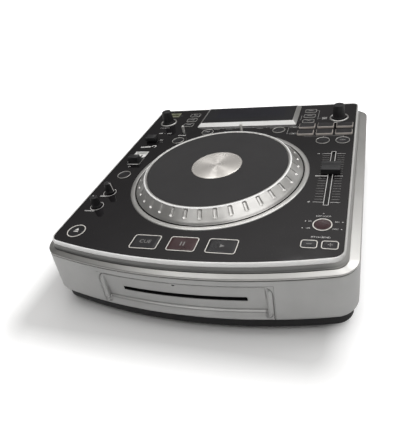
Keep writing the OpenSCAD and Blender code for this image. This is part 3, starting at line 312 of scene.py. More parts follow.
def side_light_fade(m, colour, low, high):
    """The paint turns to another tone towards one side of the case: painted highlight and shade
    that follow how the light falls there.
    """
    tree = m.node_tree
    base = tree.nodes["Principled BSDF"].inputs["Base Color"]
    place_on = wire(tree, "TexCoord", {}).outputs["Object"]
    across = wire(tree, "SeparateXYZ", {"Vector": place_on}).outputs["X"]
    ramp = wire(tree, "MapRange", {"From Min": low, "From Max": high, "Value": across},
                interpolation_type="SMOOTHSTEP").outputs["Result"]
    tree.links.new(blend(tree, ramp, base.links[0].from_socket, (*colour, 1)), base)


# The rim's painted highlight dims towards the right and left sides, and the cove's painted shade
# lightens towards the right side
side_light_fade(RIM_HIGHLIGHT, (0.36, 0.355, 0.34), 0.136, 0.158)
side_light_fade(RIM_HIGHLIGHT, (0.50, 0.495, 0.48), -0.140, -0.160)
side_light_fade(COVE_SHADE, (0.50, 0.495, 0.48), 0.128, 0.156)

CAD_LOOKS = {node: look for look, nodes in (
    (TRAY, "base_tray rear_panel power_inlet"), (SILVER, "body_shell slot_bezel"),
    (BRIGHT, "top_cover display_bezel jog_ring"), (GLOSS, "deck_panel"), (WHEEL, "jog_wheel"),
    (RUBBER, "rubber_feet feed_roller"), (STEEL, "case_screws jog_bearing"),
    (SOCKET, "rear_sockets"), (OLIVE, "usb_socket"), (GLASS, "display_module"),
    (WHITE_PLASTIC, "slide_guide"), (BOARD, "key_board main_board"), (ZINC, "drive_chassis"),
    (MAT_TOP, "slipmat"), (DISC, "centre_cap"), (LEVER, "left_lever centre_lever"),
    (DRIVE, "disc_turntable laser_sled")) for node in nodes.split()}
for node, ob in frame["nodes"].items():
    ob.data.materials.clear()
    ob.data.materials.append(CAD_LOOKS.get(node, KEY))

# ---- case

SEAM_Z = 68.5
BODY_Z = 20.5
FOOT_ROUND = 2.5
FOOT_TOP = BODY_Z + 1.9 * FOOT_ROUND
BEZEL_HALF = 90.5
BEZEL_TOP = 62.5
REAR_HALF = 120.0
REAR_LOW, REAR_HIGH = 30.0, 58.0
BACK_TIGHT = 5.0


def front_at(z):
    """How far the front wall stands in front of the deck at a height."""
    return min(12.0, 8.0 + 4.0 * (SEAM_Z - z) / (SEAM_Z - FOOT_TOP))


def outline(z, front, side, back, r):
    """Outline of the case, grown past the deck panel, as points in metres at a height."""
    half = HALF_W + side
    arc_r = BOW_R + front
    cx = half - r
    cy = BOW_Y - math.sqrt((arc_r - r) ** 2 - cx ** 2)
    far_r = r - BACK_TIGHT
    far_x = half - far_r
    far_y = FRONT_Y + BACK_Y + back - far_r
    spread = math.atan2(cx, BOW_Y - cy)
    inner = math.asin(BEZEL_HALF / arc_r)
    pts = []
    marks = [-spread + (spread - inner) * i / 12 for i in range(12)]
    marks += [-inner + 2 * inner * i / 40 for i in range(41)]
    marks += [inner + (spread - inner) * (i + 1) / 12 for i in range(11)]
    for a in marks:
        pts.append((arc_r * math.sin(a), BOW_Y - arc_r * math.cos(a)))
    corners = ((cx, cy, r, -math.pi / 2 + spread, 0), (far_x, far_y, far_r, 0, math.pi / 2),
               (-far_x, far_y, far_r, math.pi / 2, math.pi),
               (-cx, cy, r, math.pi, 1.5 * math.pi - spread))
    for k, (px, py, pr, a0, a1) in enumerate(corners):
        for i in range(17):
            a = a0 + (a1 - a0) * i / 16
            pts.append((px + pr * math.cos(a), py + pr * math.sin(a)))
        if k == 1:
            # Where the recess of the sockets begins and ends
            pts += [(REAR_HALF, py + pr), (-REAR_HALF, py + pr)]
    return [Vector((x, y, z)) * MM for x, y in pts]


# Columns of an outline's points: between the bezel's edges, and at the sockets' recess
FIRST_BEZEL, LAST_BEZEL = 12, 52
REAR_COLUMN = 64 + 34


def body_shell():
    levels = [(BODY_Z, 9.0), (BODY_Z, FOOT_ROUND + 1)]
    for i in range(11):
        t = math.radians(9 * i)
        levels.append((BODY_Z + 1.9 * FOOT_ROUND * (1 - math.cos(t)),
                       FOOT_ROUND * (1 - math.sin(t))))
    levels += [(z, 0.0) for z in (REAR_LOW, 34, 40, 46, 52, REAR_HIGH, BEZEL_TOP, 66.0, 67.5)]
    levels += [(67.8, 0.15), (67.9, 0.5), (67.9, 2.5), (BEZEL_TOP, 2.5), (REAR_HIGH, 2.5),
               (REAR_LOW, 2.5), (23.5, 2.5)]
    rings = [outline(z, front_at(z) - inset, 13.8 - inset, 7.0 - inset, 24.0 - inset)
             for z, inset in levels]
    verts, faces = skin(rings)
    n = len(rings[0])
    # No wall where the bezel stands, between its edges and below its top
    kept = []
    for f in faces:
        k = min(f) // n
        cols = sorted(i % n for i in f)
        low, high = sorted((levels[k][0], levels[k + 1][0]))
        front = cols[0] >= FIRST_BEZEL and cols[-1] <= LAST_BEZEL and k > 0 and high <= BEZEL_TOP
        # The back wall is open where the recessed panel of sockets stands
        back = cols[0] == REAR_COLUMN and cols[-1] == REAR_COLUMN + 1
        if not front and not (back and REAR_LOW <= low and high <= REAR_HIGH):
            kept.append(f)
    ob = make("shell", verts, kept, SILVER, CASE, 35, "silver_case")
    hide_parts("body_shell")


def bell(v, width):
    return math.exp(-(v / width) ** 2)


def smooth(a, b, v):
    t = min(1.0, max(0.0, (v - a) / (b - a)))
    return t * t * (3 - 2 * t)


def rect_distance(x, z, half_w, low, high, r_low, r_high):
    """Signed distance to a rounded rectangle seen from the front; negative inside."""
    cz = (low + high) / 2
    r = r_high if z > cz else r_low
    qx = abs(x) - half_w + r
    qz = abs(z - cz) - (high - low) / 2 + r
    return math.hypot(max(qx, 0), max(qz, 0)) + min(max(qx, qz), 0) - r


SLOT_X, SLOT_HALF, SLOT_LOW, SLOT_HIGH = 2.0, 63.5, 43.7, 48.1
PIN_X, PIN_Z = -4.0, 59.0
LEDGE_LOW, LEDGE_HIGH, FACE_TOP = 23.6, 31.6, 60.2
FACE_HALF, RIB_X, LINE_X = 82.9, 85.3, 89.0
FACE_REACH = 8.0


def bezel_depth(x, z):
    """How far the bezel lies behind the case's outer face."""
    side = abs(x)
    t = max(0.0, (FOOT_TOP - z) / (FOOT_TOP - BODY_Z))
    round_in = FOOT_ROUND * (1 - math.sqrt(max(0.0, 1 - t * t)))
    # Upright face with a sloped ledge under it
    if z > LEDGE_HIGH:
        face = (front_at(z) - FACE_REACH) * (1 - smooth(FACE_TOP - 0.3, FACE_TOP + 0.9, z))
    else:
        t = max(0.0, (z - LEDGE_LOW) / (LEDGE_HIGH - LEDGE_LOW))
        face = (front_at(LEDGE_HIGH) - FACE_REACH) * (0.62 * t + 0.38 * smooth(0.84, 1.0, t))
    inner = 1 - smooth(FACE_HALF - 1.0, FACE_HALF + 0.7, side)
    depth = inner * face
    depth += inner * 0.9 * bell(z - LEDGE_HIGH - 0.3, 0.42)
    # Raised rounded rib at each side, with a knob at its foot
    along = smooth(26.0, 28.5, z) * (1 - smooth(55.5, 59.0, z))
    depth -= 1.1 * along * bell(side - RIB_X, 1.15)
    depth += 0.8 * along * bell(side - RIB_X + 2.7, 0.5)
    knob = math.hypot((side - RIB_X + 1.0) / 2.3, (z - 28.6) / 2.2)
    depth -= 1.4 * math.exp(-knob ** 4)
    depth += 0.7 * bell(knob - 1.45, 0.22) * (z > 22.5)
    # Line round the bezel
    line = rect_distance(x, z, LINE_X, 5.0, 61.6, 2.0, 9.5)
    depth += 1.1 * bell(line, 0.42)
    # Rounded edge of the slot
    slot = rect_distance(x - SLOT_X, z, SLOT_HALF, SLOT_LOW, SLOT_HIGH, 1.0, 1.0)
    depth += (1.0 if z < SLOT_LOW else 0.3) * math.exp(-max(slot, 0.0) / 0.45)
    return depth + round_in


def steps(marks):
    """Coordinates between marks [(value, spacing up to the next mark)]."""
    out = []
    for (a, gap), (b, _) in zip(marks, marks[1:]):
        n = max(1, round((b - a) / gap))
        out += [a + (b - a) * i / n for i in range(n)]
    return out + [marks[-1][0]]


def bowed(x, reach, z):
    """A point of a wall that stands reach in front of the deck's bow."""
    r = BOW_R + reach
    return Vector((x, BOW_Y - math.sqrt(r * r - x * x), z)) * MM


def slot_bezel():
    xs = steps([(-90.3, 0.2), (-87.6, 0.35), (-80.6, 0.8), (-74, 1.0), (-63.0, 0.3),
                (-61.5, 1.0), (65.5, 0.3), (67.0, 1.0), (74, 0.8), (80.6, 0.35), (87.6, 0.2),
                (90.3, 1)])
    zs = steps([(BODY_Z, 0.3), (25.0, 0.45), (31.0, 0.15), (32.2, 0.8), (42.6, 0.2),
                (SLOT_LOW, 4.4), (SLOT_HIGH, 0.2), (49.2, 0.8), (57, 0.4), (59.6, 0.15), (62.3, 1)])
    verts = [bowed(x, front_at(z) - bezel_depth(x, z), z) for z in zs for x in xs]
    n = len(xs)
    faces = []
    for k in range(len(zs) - 1):
        for i in range(n - 1):
            mid_x, mid_z = (xs[i] + xs[i + 1]) / 2, (zs[k] + zs[k + 1]) / 2
            slot = abs(mid_x - SLOT_X) < SLOT_HALF and SLOT_LOW < mid_z < SLOT_HIGH
            pin = abs(mid_x - PIN_X) < 1.9 and abs(mid_z - PIN_Z) < 0.5
            if not slot and not pin:
                a = k * n + i
                faces.append((a, a + 1, a + n + 1, a + n))
    ob = make("disc_bezel", verts, faces, [SILVER, TRAY], CASE, 40, "silver_case")
    bm = bmesh.new()
    bm.from_mesh(ob.data)
    # Walls of the slot and the pin hole, behind the face
    rims = bmesh.ops.extrude_edge_only(bm, edges=[e for e in bm.edges if e.is_boundary])
    for g in rims["geom"]:
        if isinstance(g, bmesh.types.BMVert):
            g.co.y += 2.4 * MM
        elif isinstance(g, bmesh.types.BMFace):
            g.material_index = 1
    bmesh.ops.recalc_face_normals(bm, faces=bm.faces)
    bm.to_mesh(ob.data)
    bm.free()
    ob.data.set_sharp_from_angle(angle=math.radians(40))
    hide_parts("slot_bezel")


def slot_brush():
    """Two soft black strips inside the slot's mouth that keep dust out."""
    verts, faces = [], []
    n = 64
    for z0, z1 in ((43.2, 45.0), (46.8, 48.6)):
        base = len(verts)
        for z, depth in ((z0, 3.3), (z1, 3.3), (z1, 3.9), (z0, 3.9)):
            verts += [bowed(SLOT_X - 63.1 + 126.2 * i / (n - 1), FACE_REACH - depth, z)
                      for i in range(n)]
        for a in range(4):
            low, high = base + a * n, base + (a + 1) % 4 * n
            faces += [(low + i, low + i + 1, high + i + 1, high + i) for i in range(n - 1)]
    make("slot_felt", verts, faces, RUBBER, CASE, 30, "rubber")


def top_cover():
    # Each level is its height, how far it stands out in front, at the sides and at the back
    # of the deck panel, and the radius of its corners. First the lower lip:
    levels = [(66.2, 4.8, 10.6, 3.8, 20.8), (68.5, 4.8, 10.6, 3.8, 20.8),
              (68.5, 7.2, 13.0, 6.2, 23.2), (68.6, 7.6, 13.4, 6.6, 23.6),
              (68.85, 7.9, 13.7, 6.9, 23.9), (69.2, 8.0, 13.8, 7.0, 24.0),
              (69.9, 7.9, 13.7, 6.9, 23.8), (70.4, 7.55, 13.2, 6.6, 22.8)]
    # Sloped shoulder
    for t in (i / 6 for i in range(1, 6)):
        levels.append((70.4 + 2.6 * t, 7.55 - 3.75 * t, 13.2 - 8.2 * t, 6.6 - 2.8 * t,
                       22.8 - 7.2 * t))
    # Groove, then a hollow wall up to the rim
    levels += [(z, front, side, front, 10.0 + side) for z, front, side in (
        (73.1, 3.65, 4.85), (73.0, 3.4, 4.55), (72.0, 3.3, 4.45), (72.0, 2.8, 3.9),
        (73.4, 2.7, 3.75), (73.9, 2.2, 3.1), (74.6, 1.75, 2.45), (75.6, 1.4, 1.9),
        (77.0, 1.05, 1.2), (78.5, 0.75, 0.8), (79.25, 0.6, 0.6))]
    # Rounded rim, then down inside it to the deck
    rim = []
    for i in range(15):
        a = math.radians(-62 + 200 * i / 14)
        z = 81.9 + (2.55 if a > 0 else 2.95) * math.sin(a)
        rim.append((min(z, 84.5), 1.15 + 1.13 * math.cos(a)))
    rim += [(84.1, 0.22), (83.0, 0.12), (82.0, 0.10)]
    levels += [(z, grow, grow, grow, 11.0 + grow) for z, grow in rim]
    rings = [outline(*level) for level in levels]
    ob = make("trim_cover", *skin(rings), [BRIGHT, RIM_HIGHLIGHT, COVE_SHADE], CASE, 26, "bright_trim")
    # Fifteen bands of faces lead up over the shoulder and down to the groove's floor
    groove = len(rings[0]) * 15
    # Faces over the rim take the near-white painted highlight; the hollow wall from the groove's
    # floor up to the rim takes the darker painted shade
    for face in ob.data.polygons:
        if face.center.z > 79.4 * MM:
            face.material_index = 1
        elif face.index > groove and face.center.z < 79.3 * MM:
            face.material_index = 2
    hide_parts("top_cover")


body_shell()
slot_bezel()
slot_brush()
top_cover()

# ---- jog wheel

JOG = (0.0, 147.7)
FLUTES = 36


def jog_wheel():
    centre = deck(*JOG)
    profile = [(72, 11.5), (72, 12.2), (82.3, 12.2), (82.45, 13.2), (82.7, 13.5), (83.2, 13.68),
               (84.4, 13.7), (85.2, 13.6), (85.7, 13.35), (86.0, 13.0)]
    first = len(profile)
    slope = [(86.0 + 8.4 * i / 28, 13.0 - 8.5 * i / 28) for i in range(1, 29)]
    profile += slope + [
        (95.2, 3.72), (95.9, 3.05), (96.5, 2.35), (97.0, 1.65), (97.4, 1.1), (97.6, 0.92),
        (97.55, 0.84), (90, 0.84)]
    along = Vector((8.4, -8.5)).normalized()
    inward = Vector((along.y, -along.x))

    def dent(a, k):
        if not first <= k < first + len(slope):
            return 0.0, 0.0
        # How far down the slope and how far off the flute's middle, in mm. A flute runs
        # from 1.3 to 8.4 mm down the slope and ends in half circles.
        s = (k - first + 1) / len(slope) * 11.95
        pitch = 2 * math.pi / FLUTES
        off = (a / pitch - math.floor(a / pitch) - 0.5) * pitch * profile[k][0]
        half = 2.4
        end = max(0.0, (1.3 - s) / 1.1, (s - 8.4) / half)
        d = math.sqrt((off / half) ** 2 + end ** 2)
        deep = 1.5 * (1 - d ** 3) ** 0.65 if d < 1 else 0.0
        lip = 0.10 * bell(d - 1.12, 0.14)
        move = inward * (deep - lip)
        return move.x, move.y

    ob = lathe("wheel_rim", profile, centre, [WHEEL, RIM_HIGHLIGHT], "wheel", FLUTES * 32, 38,
               "wheel_silver", dent, ring_shaped=True)
    # The top of the lip takes the rim's near-white painted highlight
    for face in ob.data.polygons:
        away = (face.center - centre).xy.length
        if face.center.z > deck(0, 0, 13.15).z and away > 84.2 * MM:
            face.material_index = 1
    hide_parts("jog_wheel")

    lathe("wheel_floor", [(71.9, 11.6), (71.9, 12.15), (0.05, 12.15)], centre, WHEEL, "wheel",
          96, 30, "wheel_silver")
    mat_top = lathe("slipmat_disc",
                    [(29.75, 12.22), (29.75, 13.28), (29.95, 13.4)]
                    + [(30.0 + 51.2 * (i + 1) / 24, 13.4) for i in range(24)]
                    + [(81.6, 13.36), (81.85, 13.2), (82.0, 12.9), (82.0, 12.22)],
                    centre, MAT_TOP, "wheel", 192, 30, "slipmat", ring_shaped=True)
    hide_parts("slipmat")


def centre_disc():
    """The middle disc has its own origin at its centre, so that its brushing turns round it."""
    profile = [(0.02, 0), (4, 0), (12, 0), (20, 0), (28.9, 0), (29.25, -0.04), (29.45, -0.2),
               (29.5, -0.45), (29.5, -1.3)]
    turns = [math.radians(2 * i) for i in range(180)]
    rings = [[Vector((r * math.cos(a), r * math.sin(a), z)) * MM for a in turns]
             for r, z in profile]
    verts, faces = skin(rings, True, True, False)
    mesh = bpy.data.meshes.new("middle_disc")
    mesh.from_pydata([tuple(v) for v in verts], [], faces)
    ob = place("middle_disc", mesh, DISC, "wheel", 30, deck(*JOG, 13.5))
    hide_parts("centre_cap")


jog_wheel()
centre_disc()
ring = lathe("wheel_surround",
             [(99.25, 0.02), (99.3, 0.7), (99.6, 0.93), (100.1, 1.0), (103.4, 1.0),
              (104.1, 0.86), (104.5, 0.5), (104.68, 0.02)],
             deck(*JOG), BRIGHT, CASE, 240, 40, "bright_trim", ring_shaped=True)
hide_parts("jog_ring")

# ---- prints and frames on the deck

TONES = {"light": INK, "dim": INK_DIM}
print_verts = {tone: [] for tone in TONES}
print_faces = {tone: [] for tone in TONES}
PRINT_Z = 0.05


def print_shape(outer, inner=None, tone="light"):
    """A flat printed shape on the deck: a filled polygon, or the band between two of them."""
    verts, faces = print_verts[tone], print_faces[tone]
    base = len(verts)
    verts += [deck(x, y, PRINT_Z) for x, y in outer]
    n = len(outer)
    if inner is None:
        faces.append(tuple(range(base, base + n)))
        return
    verts += [deck(x, y, PRINT_Z) for x, y in inner]
    for i in range(n):
        j = (i + 1) % n
        faces.append((base + i, base + j, base + n + j, base + n + i))


def box(x0, y0, x1, y1):
    return [(x0, y0), (x1, y0), (x1, y1), (x0, y1)]


def bar(x, y, w, h, tone="light"):
    print_shape(box(x - w / 2, y - h / 2, x + w / 2, y + h / 2), tone=tone)


def print_ring(x, y, r, width, a0=0, a1=360):
    n = 64
    full = a1 - a0 >= 360
    turn = [math.radians(a0 + (a1 - a0) * i / (n if full else n - 1)) for i in range(n)]
    outer = [(x + r * math.cos(a), y + r * math.sin(a)) for a in turn]
    inner = [(x + (r - width) * math.cos(a), y + (r - width) * math.sin(a)) for a in turn]
    if full:
        print_shape(outer, inner)
    else:
        print_shape(outer + inner[::-1])


def frame_rect(x, y, w, h, r, width, tone):
    outer = [(x + a, y + b) for a, b in round_rect(w, h, r)]
    inner = [(x + a, y + b) for a, b in round_rect(w - 2 * width, h - 2 * width, r - width)]
    print_shape(outer, inner, tone)


def words(text, x, y, size, tone="light", turn=0, bold=0.0, key=None, z=PRINT_Z, name=None):
    """Generic lettering as flat mesh: on the deck, or as a piece of its own on a key."""
    curve = bpy.data.curves.new("words", "FONT")
    curve.offset = bold * MM
    curve.body = text
    curve.size = size * MM
    curve.align_x = curve.align_y = "CENTER"
    curve.resolution_u = 3
    ob = link("words", curve)
    mesh = bpy.data.meshes.new_from_object(ob)
    bpy.data.objects.remove(ob)
    mesh.transform(Matrix.Translation(deck(x, y, z)) @ Matrix.Rotation(math.radians(turn), 4, "Z"))
    if key:
        place(name, mesh, TONES[tone], key + "_body", 30)
        return
    verts, faces = print_verts[tone], print_faces[tone]
    base = len(verts)
    verts += [v.co.copy() for v in mesh.vertices]
    faces += [tuple(base + i for i in p.vertices) for p in mesh.polygons]


def raised_ring(name, x, y, r, width, height, look=FRAME):
    lathe(name, [(r - width, 0.02), (r - width, height - 0.15), (r - width + 0.2, height),
                 (r - 0.2, height), (r, height - 0.2), (r, 0.02)],
          deck(x, y), look, CASE, 72, 40, "bright_trim", ring_shaped=True)


def raised_frame(name, x, y, w, h, r, width, height, look=FRAME):
    rings = []
    for inset, z in ((0, 0.02), (0, height - 0.12), (0.15, height), (width - 0.15, height),
                     (width, height - 0.12), (width, 0.02)):
        corners = round_rect(w - 2 * inset, h - 2 * inset, r - min(inset, r - 0.3))
        rings.append([deck(x + a, y + b, z) for a, b in corners])
    make(name, *skin(rings), look, CASE, 40, "bright_trim")


# Keys and where they stand
MAIN_KEYS = {"cue_key": (-39.3, 22.8), "pause_key": (0.2, 22.8), "play_key": (39.7, 22.8)}
BEND_KEYS = {"bend_down_key": (118.0, 32.6), "bend_up_key": (136.2, 32.6)}
ROUND_KEYS = [(111.6, 228.8), (135.4, 228.9), (51.4, 261.0), (-49.1, 260.0), (-85.2, 236.5),
              (-124.8, 146.2)]
EJECT_KEY, LOCK_KEY = (-125.7, 33.4), (127.1, 61.0)
PADS = [(111.7 + 23.9 * i, 259.7 + 19.3 * j) for j in (0.5, -0.5) for i in (-1, 0, 1)]
MODE_KEYS = [(s * 87.2, 302.2 + 16.4 * i) for s in (-1, 1) for i in (1, 0, -1)]
KEY_LOW = -2.9


def dish(depth, w, h):
    """A shallow finger dish for a key's face."""
    return lambda x, y: depth * max(0.0, 1 - (2 * x / w) ** 2) * max(0.0, 1 - (2 * y / h) ** 2)


def key_cap(node, at, size, look=KEY):
    ob = tablet(node + "_cap", at, size, 1.7, [(0, KEY_LOW), (0, 0.15), (0.12, 0.38), (0.4, 0.5)],
                look, node + "_body", 40, "key_black", dish(0.15, *size))
    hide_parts(node)


def round_cap(node, at, r, look=KEY):
    top, edge = 0.5, r - 0.35
    profile = [(r, KEY_LOW), (r, top - 0.3), (r - 0.1, top - 0.1), (edge, top)]
    for i in range(1, 9):
        s = 1 - i / 9
        profile.append((edge * s, top - 0.35 * (1 - s * s)))
    ob = lathe(node + "_cap", profile, deck(*at), look, node + "_body", 64, 40, "key_black")
    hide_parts(node)


for node, at in MAIN_KEYS.items():
    key_cap(node, at, (27, 18), KEY_RED if node == "pause_key" else KEY)
    raised_frame(node + "_frame", *at, 29.4, 20.4, 2.9, 0.85, 0.35)
for node, at in BEND_KEYS.items():
    key_cap(node, at, (12.6, 8.8))
    raised_frame(node + "_frame", *at, 14.9, 11.1, 2.8, 0.85, 0.35)
for i, at in enumerate(ROUND_KEYS):
    node = f"round_key_{i + 1}"
    round_cap(node, at, 7.4)
    raised_ring(node + "_ring", *at, 8.45, 0.75, 0.6, RING)
round_cap("eject_key", EJECT_KEY, 8.8)
raised_ring("eject_key_ring", *EJECT_KEY, 10.1, 0.95, 0.5)
round_cap("lock_key", LOCK_KEY, 7.8, KEY_RED)
raised_ring("lock_key_ring", *LOCK_KEY, 9.1, 1.0, 0.5)
for i, at in enumerate(PADS):
    node = f"pad_{i + 1}"
    # The pad's cap shows at its sides with the light grey painted highlight; its dark face sits on
    # top
    ob = tablet(node + "_cap", at, (20.6, 12.6), 1.7,
                [(0, KEY_LOW), (0, 1.5), (0.15, 1.95), (0.4, 2.15)], PAD_SIDE_HIGHLIGHT, node + "_body", 50,
                "key_black", dish(0.12, 20.6, 12.6))
    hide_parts(node)
    tablet(node + "_face", (at[0], at[1] + 0.15), (19.6, 11.8), 1.3,
           [(0, 1.8), (0, 2.1), (0.15, 2.22)], PAD_TOP, node + "_body", 40, "key_black",
           dish(0.1, 19.6, 11.8))
for i, at in enumerate(MODE_KEYS):
    node = f"mode_key_{i + 1}"
    key_cap(node, at, (14, 8.6))
    raised_frame(node + "_frame", *at, 15.9, 10.6, 2.5, 0.6, 0.25, RING)


def symbol(name, shapes, key, z, look=INK_DIM):
    """Flat marks on a key."""
    verts, faces = [], []
    for pts in shapes:
        base = len(verts)
        verts += [deck(x, y, z) for x, y in pts]
        faces.append(tuple(range(base, base + len(pts))))
    make(name, verts, faces, look, key + "_body", 30, "key_black")


words("CUE", *MAIN_KEYS["cue_key"], 6.6, "dim", key="cue_key", z=0.47, name="cue_word")
symbol("pause_mark", [box(-1.9, 19.9, -0.7, 25.5), box(1.1, 19.9, 2.3, 25.5)], "pause_key", 0.47)
symbol("play_mark", [[(38.0, 20.6), (42.4, 22.8), (38.0, 25.0)]], "play_key", 0.47)
symbol("bend_down_mark", [box(115.6, 32.2, 120.4, 33.0)], "bend_down_key", 0.45)
symbol("bend_up_mark", [box(134.4, 32.2, 138.8, 33.0), box(136.2, 30.4, 137.0, 34.8)],
       "bend_up_key", 0.451)
symbol("eject_mark", [[(-128.4, 34.0), (-123.0, 34.0), (-125.7, 37.6)],
                      box(-128.4, 31.6, -123.0, 33.0)], "eject_key", 0.42, INK)
for i, text in enumerate(("TIME", "SCAN", "LOOP", "PROG", "MENU", "TRIM")):
    x, y = MODE_KEYS[i]
    words(text, x, y + 0.4, 2.5, key=f"mode_key_{i + 1}", z=0.49, name=f"mode_word_{i + 1}")
words("TAP", -49.8, 260.6, 3.6, key="round_key_4", z=0.42, name="round_word_4")
words("LOOP", 135.4, 229.6, 2.5, key="round_key_2", z=0.40, name="round_word_2")

# Lettering and lines printed on the deck: text, place, size, weight
for text, x, y, size, bold in (
        ("PITCH BEND", 127.3, 42.6, 3.05, 0), ("KEY LOCK", 127.1, 74.0, 3.0, 0),
        ("EFFECT", -128.4, 98.4, 2.8, 0.14), ("PARAMETER", -130.6, 69.2, 2.3, 0.1),
        ("FX", -127.4, 166.6, 3.2, 0), ("ON", -112.0, 239.2, 3.0, 0.12),
        ("PUSH SELECT", -122.1, 277.8, 2.5, 0.05), ("CUE", -121.4, 259.8, 3.0, 0.15),
        ("OUT", -107.6, 259.0, 3.0, 0.1), ("FOLDER", -85.1, 252.0, 3.3, 0.12),
        ("TRACK", 125.4, 279.4, 2.6, 0.12)):
    words(text, x, y, size, bold=bold)
words("REVERSE", -127.4, 219.0, 3.9, turn=5, bold=0.28)
words("OFF", -109.6, 232.6, 2.6, "dim")
words("USB", -110.6, 318.6, 2.5, "dim")
for x, y, text, dot in ((-12.0, 4.7, "6%", -16.1), (-12.7, -6.0, "12%", -17.9),
                        (13.0, 4.7, "24%", 18.0), (12.0, -6.0, "100%", 17.6)):
    words(text, LOCK_KEY[0] + x, LOCK_KEY[1] + y, 2.6)
    bar(LOCK_KEY[0] + dot, LOCK_KEY[1] + y, 1.0, 1.0)
for x, y, text in ((71.4, 268.6, "CUE 1"), (72.0, 249.6, "CUE 2")):
    frame_rect(x, y, 10.6, 4.6, 2.1, 0.5, "dim")
    words(text, x, y, 2.3, bold=0.06)
print_ring(-115.4, 220.4, 3.4, 1.3, -70, 200)
print_ring(-124.0, 106.2, 7.9, 0.6)
print_ring(-126.0, 78.6, 7.9, 0.6)

FADER_SLOT = (127.2, 146.5)


def fader_print():
    x, y = FADER_SLOT
    low, high = 92.3, 200.7
    for s in (-1, 1):
        bar(x + s * 2.4, (low + high) / 2, 0.6, high - low)
    bar(x, high, 5.4, 0.6)
    bar(x, low, 5.4, 0.6)
    bar(x - 9.2, y, 13.6, 1.3)
    bar(x + 8.9, y, 9.0, 0.6)
    for i in (*range(-10, 0), *range(1, 11)):
        end = abs(i) == 10
        tone = "light" if end else "dim"
        bar(x - 8.0, y + i * 4.93, 10.4 if end else 8.0, 0.45, tone)
        bar(x + 8.8, y + i * 4.93, 9.6 if end else 7.8, 0.45, tone)


fader_print()
for line in (
        # Plus and minus beside the fader, the mark at the key lock, the slide switch's scale
        (110.2, 195.8, 2.8, 0.7), (110.2, 97.2, 2.8, 0.7), (110.2, 97.2, 0.7, 2.8),
        (126.6, 78.4, 1.2, 0.8), (-125.2, 172.3, 15.0, 1.3), (-135.8, 179.4, 0.8, 3.6)):
    bar(*line)
for line in (
        # From the front pads to the two round keys
        (111.9, 241.3, 48.4, 0.5), (87.9, 242.2, 0.5, 2.2), (111.6, 239.6, 0.5, 3.4),
        (135.4, 239.6, 0.5, 3.4),
        # From the right-hand mode keys to the mark beside the dial
        (97.6, 319.0, 3.4, 0.6), (99.2, 304.6, 0.6, 28.8), (101.2, 293.6, 4.2, 0.6),
        (76.4, 296.6, 0.6, 15.0),
        # In front of the display
        (63.8, 258.8, 0.6, 20.0), (65.0, 268.6, 2.4, 0.6), (65.0, 249.4, 2.4, 0.6),
        *((x, 268.0, 9.0, 0.8) for x in (-38, -20, 24, 42)),
        *((x, 270.4, 1.2, 1.2) for x in (-28.8, -11, 14, 33)),
        # Between two words, and beside the slide switch
        (-114.6, 259.4, 2.6, 0.5), (-116.1, 180.0, 0.6, 18.0)):
    bar(*line, "dim")
for i in range(4):
    bar(107.9, 290.6 + 1.7 * i, 6.6, 0.55)

# ---- dials and knobs

def ribbed(name, node, at, r, top_r, h, ribs, depth):
    """A tapered grip with ribs round it and a dished top."""
    profile = [(r - 1.2, 0.6), (r - 0.3, 0.6), (r, 0.9), (r, 1.6), (r - 0.25, 2.1)]
    first = len(profile)
    profile += [(r - 0.3 + (top_r - r + 0.3) * i / 12, 2.3 + (h - 3.6) * i / 12)
                for i in range(13)]
    last = len(profile)
    profile += [(top_r - 0.15, h - 0.75), (top_r - 0.45, h - 0.3), (top_r - 0.9, h - 0.04),
                (top_r - 1.3, h), (top_r - 1.9, h - 0.12), (top_r * 0.5, h - 0.3), (0.05, h - 0.34)]

    def dent(a, k):
        return (-depth * (0.5 + 0.5 * math.cos(a * ribs)) ** 2 if first <= k < last else 0.0), 0.0

    ob = lathe(name, profile, deck(*at), KNOB, node + "_body", ribs * 6, 34, "knob_black", dent)
    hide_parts(node)


def pointer(name, node, at, turn, r, top_r, h):
    """A painted line from the middle of the top down the grip."""
    a = math.radians(turn + 90)
    path = [(top_r * 0.35, h - 0.28), (top_r - 1.4, h + 0.02), (top_r - 0.3, h - 0.45),
            (top_r + 0.06, h - 1.3), (r - 0.1, 2.4), (r + 0.02, 1.8)]
    side = Vector((-math.sin(a), math.cos(a), 0))
    out = Vector((math.cos(a), math.sin(a), 0))
    verts = [deck(*at, z + 0.05) + (out * (d + 0.07) + side * s) * MM
             for d, z in path for s in (-0.42, 0.42)]
    faces = [(2 * i, 2 * i + 1, 2 * i + 3, 2 * i + 2) for i in range(len(path) - 1)]
    make(name, verts, faces, INK, node + "_body", 60, "knob_black")


# Lower and upper radius and height of the grips
DIAL, KNOB_GRIP = (8.4, 6.8, 18.5), (5.6, 4.2, 13)
DIALS = {"left": (-122.6, 295.4), "right": (126.8, 294.2)}
KNOBS = {"rear": (-124.0, 107.7), "front": (-126.0, 78.6)}
for side, at in DIALS.items():
    ribbed(f"dial_{side}_grip", side + "_dial", at, *DIAL, 24, 0.35)
for side, at in KNOBS.items():
    ribbed(f"knob_{side}_grip", side + "_knob", at, *KNOB_GRIP, 16, 0.3)
for (side, at), turn in zip(KNOBS.items(), (-100, 35)):
    pointer(f"knob_{side}_line", side + "_knob", at, turn, *KNOB_GRIP)
for side, at in DIALS.items():
    lathe(f"dial_{side}_ring",
          [(10.3, 0.02), (10.4, 0.6), (10.8, 1.0), (11.5, 1.1), (12.1, 0.8), (12.4, 0.3),
           (12.45, 0.02)], deck(*at), BRIGHT, CASE, 96, 60, "bright_trim", ring_shaped=True)

# ---- fader, switches and levers

